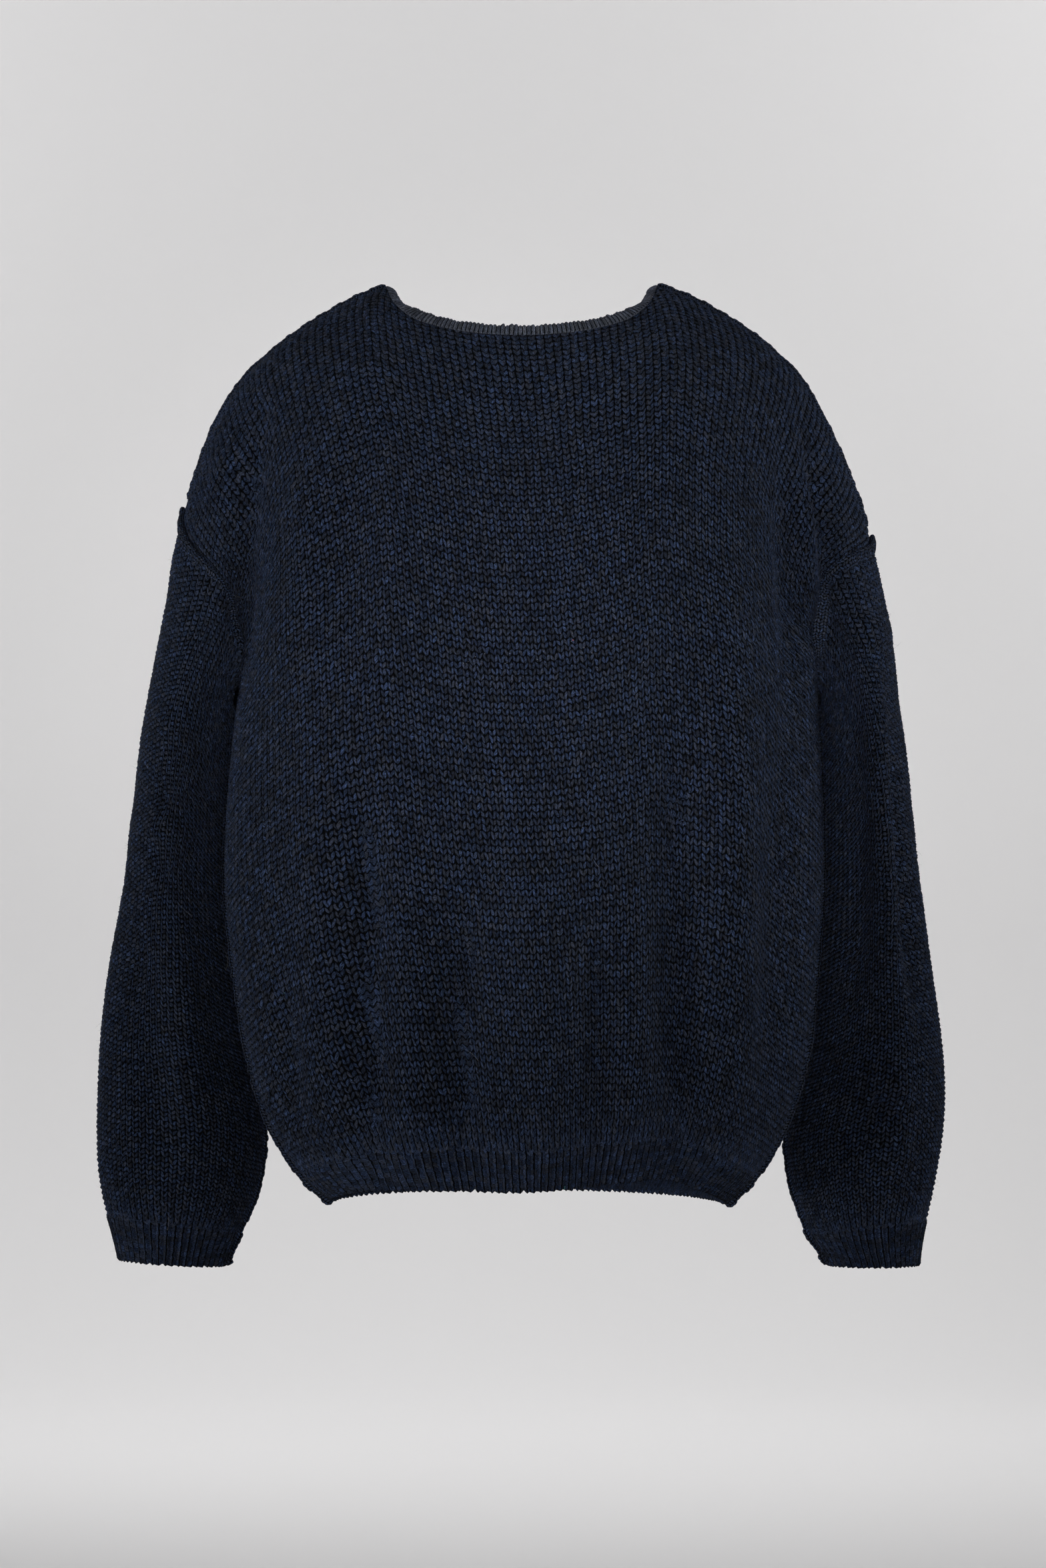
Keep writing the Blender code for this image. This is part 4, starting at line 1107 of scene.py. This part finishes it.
def loft(shell, rings, stitch_step, closed):
    """Faces round and along a row of rings, with a fan over each end that is open."""
    count, sides = rings.shape[:2]
    first = shell.add_points(rings)
    spans = count if closed else count - 1
    i = np.repeat(np.arange(spans), sides)
    k = np.tile(np.arange(sides), spans)
    corner_i = np.stack([i, i, i + 1, i + 1], 1)
    corner_k = np.stack([k, k + 1, k + 1, k], 1)
    ids = first + (corner_i % count) * sides + corner_k % sides
    along, around = stitch_step
    stitch = np.stack([corner_i * along, corner_k * around], -1)
    if not closed:
        stitch = stitch[..., ::-1] + (0.0, SEAM_COURSE)
    flat = np.stack([0.01 + 0.98 * corner_i / spans, 0.03 + 0.94 * corner_k / sides], -1)
    shell.add_faces(ids, stitch, flat)
    if closed:
        return
    for ring, turn, low in ((0, 1, 0.0), (count - 1, -1, 0.98)):
        middle = shell.add_points(rings[ring].mean(0))
        k = np.arange(sides)
        base = first + ring * sides
        fan = np.stack([base + (k + 1) % sides, base + k, np.full(sides, middle)], 1)[:, ::turn]
        places = np.zeros((sides, 3, 2))
        places[:, 0, 0], places[:, 1, 0], places[:, 2, 1] = 0.2, 0.1, 0.4
        shell.add_faces(fan, places, places * 0.02 + (low, 0.0))


def band_piece(name, slots):
    """The strip round the neck, knitted in short columns square to the edge."""
    back = neck_line(1, BACK_NECK, 120)
    front = neck_line(-1, V_NECK, 240)
    loop = np.vstack([back, front[::-1][1:-1], back[:1]])
    columns = int(round(run_length(loop)[-1] / BAND_COLUMN))
    loop = resample(loop, columns * BAND_POINTS)[:-1]
    normals = outward(panel_field, loop)
    along = unit(np.roll(loop, -2, 0) - np.roll(loop, 2, 0))
    rise = unit(np.cross(normals, along))
    rise *= np.sign((rise * np.array([0, 0, 1]) - rise[:, :1] * np.sign(loop[:, :1])).sum(
        1, keepdims=True))
    near = np.exp(-((np.abs(loop[:, 0]) - NECK_POINT[0]) / BAND_TURN) ** 2)
    rise[:, 2] *= 1 - 1.25 * near
    rise = unit(rise - normals * 0.25 * near[:, None])
    limit = np.where(loop[:, 1] < 0, np.abs(loop[:, 0]) / np.maximum(np.abs(rise[:, 0]), 0.3),
                     1.0)
    rng = np.random.default_rng(SEEDS["band"])
    ripple = BAND_RIPPLE[np.arange(len(loop)) % BAND_POINTS]
    size = np.repeat(rng.uniform(*BAND_SIZES, columns), BAND_POINTS)
    rings = []
    for reach, out, share in BAND_PROFILE:
        across = np.minimum(reach * BAND_HEIGHT * size * (1 - 0.30 * near), limit)
        if reach > 0.8:
            across = across + np.where(limit > 0.02, ripple, 0)
        offset = out * BAND_THICKNESS / 2 - BAND_THICKNESS / 2 + share * ripple
        rings.append(loop + rise * across[:, None]
                     + normals * (offset + fold_rise(loop, normals))[:, None])
    shell = Shell(slots)
    loft(shell, np.stack(rings, 1), (1 / BAND_POINTS, 0.30), True)
    return shell.build(name)


def ridge_piece(name, kind, line, field, slots):
    """A raised seam of linked loops that runs along a line on the cloth."""
    reach_a, reach_b, height = RIDGES[kind]
    loops = max(4, int(round(run_length(line)[-1] / RIDGE_LOOP)))
    line = resample(line, loops * LOOP_POINTS)
    normals = outward(field, line)
    along = unit(np.gradient(line, axis=0))
    across = unit(np.cross(normals, along)) * -np.sign(line[:, :1])
    if kind == "armhole":
        across = -across
    rng = np.random.default_rng(SEEDS[kind])
    k = np.arange(len(line))
    size = np.repeat(rng.uniform(*LOOP_SIZES, loops + 1), LOOP_POINTS)[:len(line)]
    bulge = 0.93 + 0.12 * np.sin(np.pi * (k % LOOP_POINTS + 0.5) / LOOP_POINTS)
    weave = LOOP_WEAVE * np.where((k // LOOP_POINTS) % 2 == 0, 1, -1)
    tall = height * size * bulge * np.interp(np.linspace(0, 1, len(line)), *SWELL[kind])
    ends = np.minimum(1, 0.55 + 0.15 * np.minimum(k, len(k) - 1 - k))
    lift = fold_rise(line, normals, SLEEVE_FOLDS if kind == "sleeve" else BODY_FOLDS)
    rings = []
    for place, rise in RIDGE_PROFILE[kind]:
        reach = np.where(place < 0, reach_a, reach_b)
        side = (place * reach * (0.9 + 0.2 * (size - 1)) + weave) * ends
        up = np.where(rise < 0, rise * RIDGE_ROOT, rise * tall * ends) + lift
        rings.append(line + across * side[:, None] + normals * up[:, None])
    shell = Shell(slots)
    loft(shell, np.stack(rings, 1), (0.5, 0.45), False)
    return shell.build(name)


def seam_lines(side, sleeve):
    """The four seams of one side: kind, line and field."""
    rear, fore = (armhole_line(side, face, 10 * UP_ARMHOLE)[10 * HIDDEN_ARMHOLE_ROWS:]
                  for face in (1, -1))
    rows = np.linspace(0.9, SLEEVE_ROWS, 160)
    field = sleeve_field(side)
    inner = onto(field, read_grid(sleeve, np.full(160, float(UP_ARMHOLE)), rows, True), 2)
    # The shoulder and side ridges stop a little short of where the armhole's ridge passes.
    return (
        ("shoulder", shoulder_line(side, 80)[:-3], worn_field),
        ("armhole", np.vstack([rear, fore[::-1][1:]]), worn_field),
        ("side", side_line(side, 160)[:-10], body_field),
        ("sleeve", inner, field),
    )


# ---------------- fuzz, hairs and flecks

def ribbon_mesh(name, paths, widths, material):
    """Thin flat fibres: each path is a row of points with a width."""
    count, steps = paths.shape[:2]
    along = unit(np.gradient(paths, axis=1))
    sideways = unit(np.cross(along, RIBBON_FACING))
    taper = np.linspace(1, 0.35, steps)[None, :, None]
    half = sideways * widths[:, None, None] * taper / 2
    points = np.stack([paths - half, paths + half], 2).reshape(-1, 3)
    start = (np.arange(count) * steps * 2)[:, None] + (np.arange(steps - 1) * 2)[None, :]
    faces = np.stack([start, start + 1, start + 3, start + 2], -1).reshape(-1, 4)
    shell = Shell([material])
    shell.add_points(points)
    step = np.tile(np.arange(steps - 1), count)
    fibre = np.repeat(np.arange(count), steps - 1)
    u = (fibre % 200) / 200
    v = (fibre // 200) / (count // 200 + 1)
    cell = np.array([[0, 0], [0.004, 0], [0.004, 0.004], [0, 0.004]])
    flat = np.stack([u, v], -1)[:, None] + cell[None] + step[:, None, None] * (0, 0.0045)
    shell.add_faces(faces, flat * 40, flat.clip(0, 1))
    return shell.build(name)


def fuzz(name, panels, material):
    """Short loose fibres over the whole outside."""
    rng = np.random.default_rng(SEEDS["fuzz"])
    roots, ways = [], []
    for lattice, last in panels:
        share = int(FUZZ_COUNT * lattice["wales"] * lattice["courses"] / TOTAL_STITCHES)
        i = rng.integers(1, len(lattice["point"]) - 1, share)
        j = (rng.uniform(*FUZZ_SPAN, share) * last[i]).astype(int)
        normals = lattice["normal"][i, j]
        rise = lattice["rise"][i, j][:, None]
        roots.append(lattice["point"][i, j] + normals * rise)
        ways.append(unit(normals * rng.uniform(*FUZZ_STAND, (share, 1))
                         + rng.normal(0, FUZZ_STRAY, (share, 3))))
    roots, ways = np.concatenate(roots), np.concatenate(ways)
    bend = rng.normal(0, 1, roots.shape)
    bend[:, 2] -= FUZZ_HANG
    length = rng.uniform(*FUZZ_LENGTHS, (len(roots), 1)) * np.where(
        rng.random((len(roots), 1)) < LONG_SHARE, LONG_TIMES, 1)
    t = np.linspace(0, 1, 4)[None, :, None]
    paths = (roots[:, None] + ways[:, None] * length[:, None] * t
             + unit(bend)[:, None] * length[:, None] * FUZZ_CURL * t * t)
    widths = rng.uniform(*FUZZ_WIDTHS, len(roots))
    short = np.abs(paths[:, :, 1]).max(1) < FUZZ_REACH
    return ribbon_mesh(name, paths[short], widths[short], material)


def on_panel(panel, x, z):
    """The nearest point of a panel's outside, seen from behind, and its normal."""
    lattice, _ = panel
    points = lattice["point"]
    off = np.hypot(points[..., 0] - x, points[..., 2] - z)
    i, j = np.unravel_index(np.argmin(off), off.shape)
    normal = lattice["normal"][i, j]
    return points[i, j] + normal * (lattice["rise"][i, j] + LINT_LIFT), normal


def hairs(name, panels, material):
    """Long pale hairs that lie on the cloth, each at a place and length of its own."""
    rng = np.random.default_rng(SEEDS["hairs"])
    paths = []
    for panel, x, z, turn, length in HAIRS:
        start, normal = on_panel(panels[panel], x, z)
        way = np.array([np.cos(turn), 0, np.sin(turn)])
        way = unit(way - normal * way.dot(normal))
        bend = np.cross(normal, way) * rng.uniform(-HAIR_BEND, HAIR_BEND)
        t = np.linspace(0, 1, 12)[:, None]
        paths.append(start + (way * t + bend * t * t + normal * HAIR_ARCH * np.sin(np.pi * t))
                     * length)
    return ribbon_mesh(name, np.array(paths), np.full(len(paths), HAIR_WIDTH), material)


def flecks(name, panels, spots, size, material):
    """Small bits of lint caught in the stitches."""
    rng = np.random.default_rng(SEEDS["flecks"])
    shell = Shell([material])
    corners = np.array([(1, 0, -0.7), (-1, 0, -0.7), (0, 1, 0.7), (0, -1, 0.7)])
    faces = np.array([(0, 2, 3), (1, 3, 2), (0, 1, 2), (1, 0, 3)])
    cells = np.tile([[0.1, 0.1], [0.2, 0.1], [0.1, 0.2]], (4, 1, 1))
    for panel, x, z in spots:
        place, _ = on_panel(panels[panel], x, z)
        turned = corners @ np.linalg.qr(rng.normal(0, 1, (3, 3)))[0]
        first = shell.add_points(place + turned * size * rng.uniform(0.6, 1.3))
        shell.add_faces(faces + first, cells, cells)
    return shell.build(name)


def white_places():
    """A slanting cluster in the middle of the back, and as many flecks all over it."""
    rng = np.random.default_rng(SEEDS["places"])
    (x, z), (run, rise), (x_stray, z_stray) = CLUSTER
    spots = []
    for _ in range(WHITE_FLECKS):
        t, off = rng.random(), rng.normal(0, 1)
        spots.append(("back", x + run * t + x_stray * off, z + rise * t + z_stray * off))
    for _ in range(WHITE_FLECKS):
        spots.append(("back", rng.uniform(*FLECK_WIDTHS), rng.uniform(*FLECK_HEIGHTS)))
    return spots


# ---------------- materials

class Wire:
    """A value inside a material, whose arithmetic adds nodes to the material's tree."""

    def __init__(self, tree, socket):
        self.tree = tree
        self.socket = socket

    def maths(self, operation, *others, clamp=False):
        node = self.tree.nodes.new("ShaderNodeMath")
        node.operation = operation
        node.use_clamp = clamp
        for value, target in zip((self, *others), node.inputs):
            feed(value, target)
        return Wire(self.tree, node.outputs[0])

    def __add__(self, other):
        return self.maths("ADD", other)

    def __sub__(self, other):
        return self.maths("SUBTRACT", other)

    def __rsub__(self, other):
        return self.maths("MULTIPLY_ADD", -1, other)

    def __mul__(self, other):
        return self.maths("MULTIPLY", other)

    def __pow__(self, other):
        return self.maths("POWER", other)

    def parts(self):
        """The three numbers of a vector or colour."""
        node = self.tree.nodes.new("ShaderNodeSeparateXYZ")
        feed(self, node.inputs[0])
        return [Wire(self.tree, output) for output in node.outputs]

    def step(self, low, high):
        """Rise softly from 0 to 1 as the value goes from low to high."""
        node = self.tree.nodes.new("ShaderNodeMapRange")
        node.interpolation_type = "SMOOTHSTEP"
        feed(self, node.inputs["Value"])
        node.inputs["From Min"].default_value = low
        node.inputs["From Max"].default_value = high
        return Wire(self.tree, node.outputs[0])

    def noise(self, scale, detail=2.0, rough=0.55):
        """Smooth noise at this place, as a value and as a colour."""
        node = self.tree.nodes.new("ShaderNodeTexNoise")
        feed(self, node.inputs["Vector"])
        node.inputs["Scale"].default_value = scale
        node.inputs["Detail"].default_value = detail
        node.inputs["Roughness"].default_value = rough
        return [Wire(self.tree, output) for output in node.outputs]

    def ramp(self, stops):
        node = self.tree.nodes.new("ShaderNodeValToRGB")
        feed(self, node.inputs[0])
        elements = node.color_ramp.elements
        while len(elements) < len(stops):
            elements.new(0.5)
        for element, (place, colour) in zip(elements, stops):
            element.position = place
            element.color = (*colour, 1)
        return Wire(self.tree, node.outputs[0])


def feed(value, target):
    """Link a wire to a node's input, or set a plain number there."""
    if isinstance(value, Wire):
        value.tree.links.new(value.socket, target)
    else:
        target.default_value = value


def pair(x, y):
    """A vector of two values."""
    node = x.tree.nodes.new("ShaderNodeCombineXYZ")
    feed(x, node.inputs[0])
    feed(y, node.inputs[1])
    return Wire(x.tree, node.outputs[0])


def new_material(name, **levels):
    """A material, its tree and its shader, with the shader's plain levels set."""
    material = bpy.data.materials.new(name)
    material.use_nodes = True
    shader = material.node_tree.nodes["Principled BSDF"]
    for socket, level in levels.items():
        shader.inputs[socket.replace("_", " ")].default_value = level
    return material, material.node_tree, shader


def stitch_place(tree):
    """The place on the map that counts wales and courses."""
    node = tree.nodes.new("ShaderNodeUVMap")
    node.uv_map = "stitch"
    return Wire(tree, node.outputs[0])


def yarn_body(u, v, inside):
    """How full the yarn stands at each place, with the place along its leg and the rib.

    Outside, the groove beside a wale and the line between the legs are taken off it: this is
    painted shade in the colour, and it also lowers the bump.
    """
    edge = (u.maths("FRACT") * 2 - 1).maths("ABSOLUTE")
    if inside:
        leg = v + (u * (2 * np.pi)).maths("COSINE") * PURL_WAVE
    else:
        leg = v + (0.5 - edge) * LEAN
    across = leg.maths("FRACT") * 2 - 1
    rib = v.step(*RIB_STEP)
    thick = 1.0 - (1.0 - rib * RIB_FILL) * across * across
    if inside:
        return thick ** 0.8, leg, rib
    tight = v.step(*TIGHT_COURSES)
    # Painted shade: darker in the groove beside each wale, more in the rib and the tight courses,
    # and on the line between the legs.
    groove = edge.step(*GROOVE_SHADE_STEP) * (tight * 0.10 + (rib * 0.30 + 0.66))
    middle = edge.step(*MIDDLE_SHADE_STEP) * (0.62 - tight.maths("MAXIMUM", rib) * 0.50)
    return (thick ** 0.9).maths("SUBTRACT", groove + middle, clamp=True), leg, rib


def yarn_material(name, gain, inside=False, loose=1.0, pale=0.0):
    """Knitted heather yarn: legs of stitches with fibres along them, over painted shade in the
    gaps.
    """
    material, tree, shader = new_material(
        name, Roughness=0.9, Specular_IOR_Level=0.05, Sheen_Weight=0.04, Sheen_Roughness=0.3,
        Sheen_Tint=(0.55, 0.62, 0.78, 1))
    place = stitch_place(tree)
    u, v, _ = place.parts()
    stray_u, stray_v, _ = place.noise(0.83, 1.0)[1].parts()
    u = u + (stray_u - 0.5) * (loose * STRAY[0])
    v = v + (stray_v - 0.5) * (loose * STRAY[1])
    body, leg, rib = yarn_body(u, v, inside)

    chance = tree.nodes.new("ShaderNodeTexWhiteNoise")
    chance.noise_dimensions = "2D"
    feed(pair((u * 2).maths("FLOOR"), leg.maths("FLOOR")), chance.inputs["Vector"])
    tone, tint = (Wire(tree, output) for output in chance.outputs)
    fibres, hues = pair(u * FIBRE_GRAIN[0], leg * FIBRE_GRAIN[1]).noise(1.0, 4.0, 0.75)
    cloud = pair(u * CLOUD_GRAIN[0], leg * CLOUD_GRAIN[1]).noise(1.0)[0]

    colours = [(at, [gain * (c * (1 - pale) + g * pale) for c, g in zip(colour, PALE_GREY)])
               for at, colour in HEATHER]
    hue = (tone * 0.30 + (hues.parts()[0] * 1.9 - 0.60)).ramp(colours)
    # Light and dark: fibres, then each leg of its own, streaks of yarn, and the rib.
    light = fibres.step(*FIBRE_STEP) ** 1.6 * 3.6 + 0.10
    light = light * (tint.parts()[1] * 0.9 + 0.6) * (cloud * 0.8 + 0.60) * (1.0 - rib * 0.06)
    # Where the yarn is thin the colour falls to a painted shade colour, which is also added under
    # all of the yarn.
    scaled = tree.nodes.new("ShaderNodeVectorMath")
    scaled.operation = "SCALE"
    feed(hue, scaled.inputs[0])
    feed(light * body.step(*GAP_SHADE_STEP), scaled.inputs["Scale"])
    shown = tree.nodes.new("ShaderNodeVectorMath")
    shown.operation = "ADD"
    tree.links.new(scaled.outputs[0], shown.inputs[0])
    shown.inputs[1].default_value = GAP_SHADE_COLOUR
    tree.links.new(shown.outputs[0], shader.inputs["Base Color"])

    bump = tree.nodes.new("ShaderNodeBump")
    bump.inputs["Strength"].default_value = 1.0
    bump.inputs["Distance"].default_value = BUMP_DEPTH
    feed(fibres * 0.5 + body, bump.inputs["Height"])
    tree.links.new(bump.outputs[0], shader.inputs["Normal"])
    return material


def fibre_material(name, low, high):
    """Loose fibres, whose colour changes from one to the next."""
    material, tree, shader = new_material(name, Roughness=0.8, Sheen_Weight=0.2)
    tone = stitch_place(tree).noise(1.0, 1.0)[0]
    feed(tone.ramp(((0.3, low), (0.7, high))), shader.inputs["Base Color"])
    return material


def studio_material():
    """Pale, almost even paper."""
    material, tree, shader = new_material("studio_paper", Roughness=0.95, Specular_IOR_Level=0.1)
    place = Wire(tree, tree.nodes.new("ShaderNodeTexCoord").outputs["Object"])
    tone = place.noise(0.6)[0]
    feed(tone.ramp(((0.3, PAPER[0]), (0.7, PAPER[1]))), shader.inputs["Base Color"])
    return material


# ---------------- studio

def backdrop():
    """A pale floor that curves up into a wall at both ends."""
    turns = np.linspace(0, np.pi / 2, 17)
    rise = FLOOR + BEND * (1 - np.cos(turns))
    inset = BEND * (1 - np.sin(turns))
    profile = [(NEAR_WALL, WALL_TOP)]
    profile += [(NEAR_WALL - dy, z) for dy, z in zip(inset[::-1], rise[::-1])]
    profile += [(FAR_WALL + dy, z) for dy, z in zip(inset, rise)]
    profile.append((FAR_WALL, WALL_TOP))
    points = [(x, y, z) for x in (-FLOOR_HALF, FLOOR_HALF) for y, z in profile]
    count = len(profile)
    faces = [(k, k + 1, count + k + 1, count + k) for k in range(count - 1)]
    mesh = bpy.data.meshes.new("studio")
    mesh.from_pydata(points, [], faces)
    mesh.shade_smooth()
    mesh.materials.append(studio_material())
    stage = bpy.data.objects.new("studio", mesh)
    bpy.context.collection.objects.link(stage)


def lamps():
    """Soft area lamps, hidden from the camera."""
    for name, place, aim, size, power, spread_angle in LAMPS:
        lamp = bpy.data.lights.new(name, "AREA")
        lamp.shape = "RECTANGLE"
        lamp.size, lamp.size_y = size
        lamp.energy = power
        lamp.spread = np.radians(spread_angle)
        item = bpy.data.objects.new(name, lamp)
        item.location = place
        item.visible_camera = False
        way = mathutils.Vector(aim) - mathutils.Vector(place)
        item.rotation_euler = way.to_track_quat("-Z", "Y").to_euler()
        bpy.context.collection.objects.link(item)


def studio():
    """Backdrop, soft lamps, air and the camera."""
    backdrop()
    lamps()
    world = bpy.data.worlds.new("studio_air")
    world.use_nodes = True
    world.node_tree.nodes["Background"].inputs["Color"].default_value = AIR_COLOUR
    world.node_tree.nodes["Background"].inputs["Strength"].default_value = AIR
    bpy.context.scene.world = world
    bpy.context.scene.view_settings.view_transform = "Standard"

    lens = bpy.data.cameras.new("camera")
    lens.sensor_fit = "VERTICAL"
    lens.sensor_height = SENSOR
    lens.lens = SENSOR * CAMERA_PLACE[1] / VIEW_HEIGHT
    camera = bpy.data.objects.new("camera", lens)
    camera.location = CAMERA_PLACE
    camera.rotation_euler = (np.pi / 2, 0, np.pi)
    bpy.context.collection.objects.link(camera)
    bpy.context.scene.camera = camera


# ---------------- assembly

def settle(piece, slot, *nodes):
    """Fix a piece to the garment, and hide the nodes whose looks it takes over. The slot is not
    used.
    """
    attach(piece, "root")
    if nodes:
        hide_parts(*nodes)
    return piece


def materials():
    """All cloth, fibre and lint looks, by name."""
    looks = {
        "knit": yarn_material("heather_knit", KNIT_GAIN),
        "inside": yarn_material("heather_knit_inside", INSIDE_GAIN, inside=True),
        "band": yarn_material("heather_band", BAND_GAIN, loose=0.5, pale=0.65),
        "seam": yarn_material("heather_seam", SEAM_GAIN, loose=0.7),
    }
    for name, low, high in FIBRE_COLOURS:
        looks[name] = fibre_material(name, low, high)
    for name, _, _, colour in COLOURED_FLECKS:
        looks[name] = fibre_material(name + "_lint", colour, colour)
    return looks


def sweater():
    """Every piece, and the sheets."""
    looks = materials()
    cloth = [looks["knit"], looks["inside"]]
    panels, pieces, seams = {}, {}, {}
    for name, face, table in (("back", 1, BACK_NECK), ("front", -1, V_NECK)):
        piece, panels[name] = knit_panel("knit_" + name, panel_grid(face), None, SEEDS[name],
                                         cloth, neck_line(face, table, 160))
        pieces[name] = settle(piece, "knit", name)
    for side in SIGN:
        grid = sleeve_grid(side)
        node = "sleeve_" + side
        piece, panels[node] = knit_panel("knit_" + node, grid, side, SEEDS[node], cloth)
        pieces[node] = settle(piece, "knit", node)
        for kind, line, field in seam_lines(side, grid):
            node = f"{kind}_seam_{side}"
            ridge = ridge_piece("linked_" + node, kind, line, field, [looks["seam"]])
            seams[node] = settle(ridge, "seam", node)
    band = settle(band_piece("knit_neckband", [looks["band"]]), "band", "neckband")
    loose = [
        fuzz("yarn_fuzz", panels.values(), looks["loose_fibres"]),
        hairs("stray_hairs", panels, looks["pale_hairs"]),
        flecks("white_flecks", panels, white_places(), WHITE_SIZE, looks["white_lint"]),
    ]
    for name, spots, size, _ in COLOURED_FLECKS:
        loose.append(flecks(name, panels, spots, size, looks[name]))
    for piece in loose:
        settle(piece, "knit")


sweater()
studio()
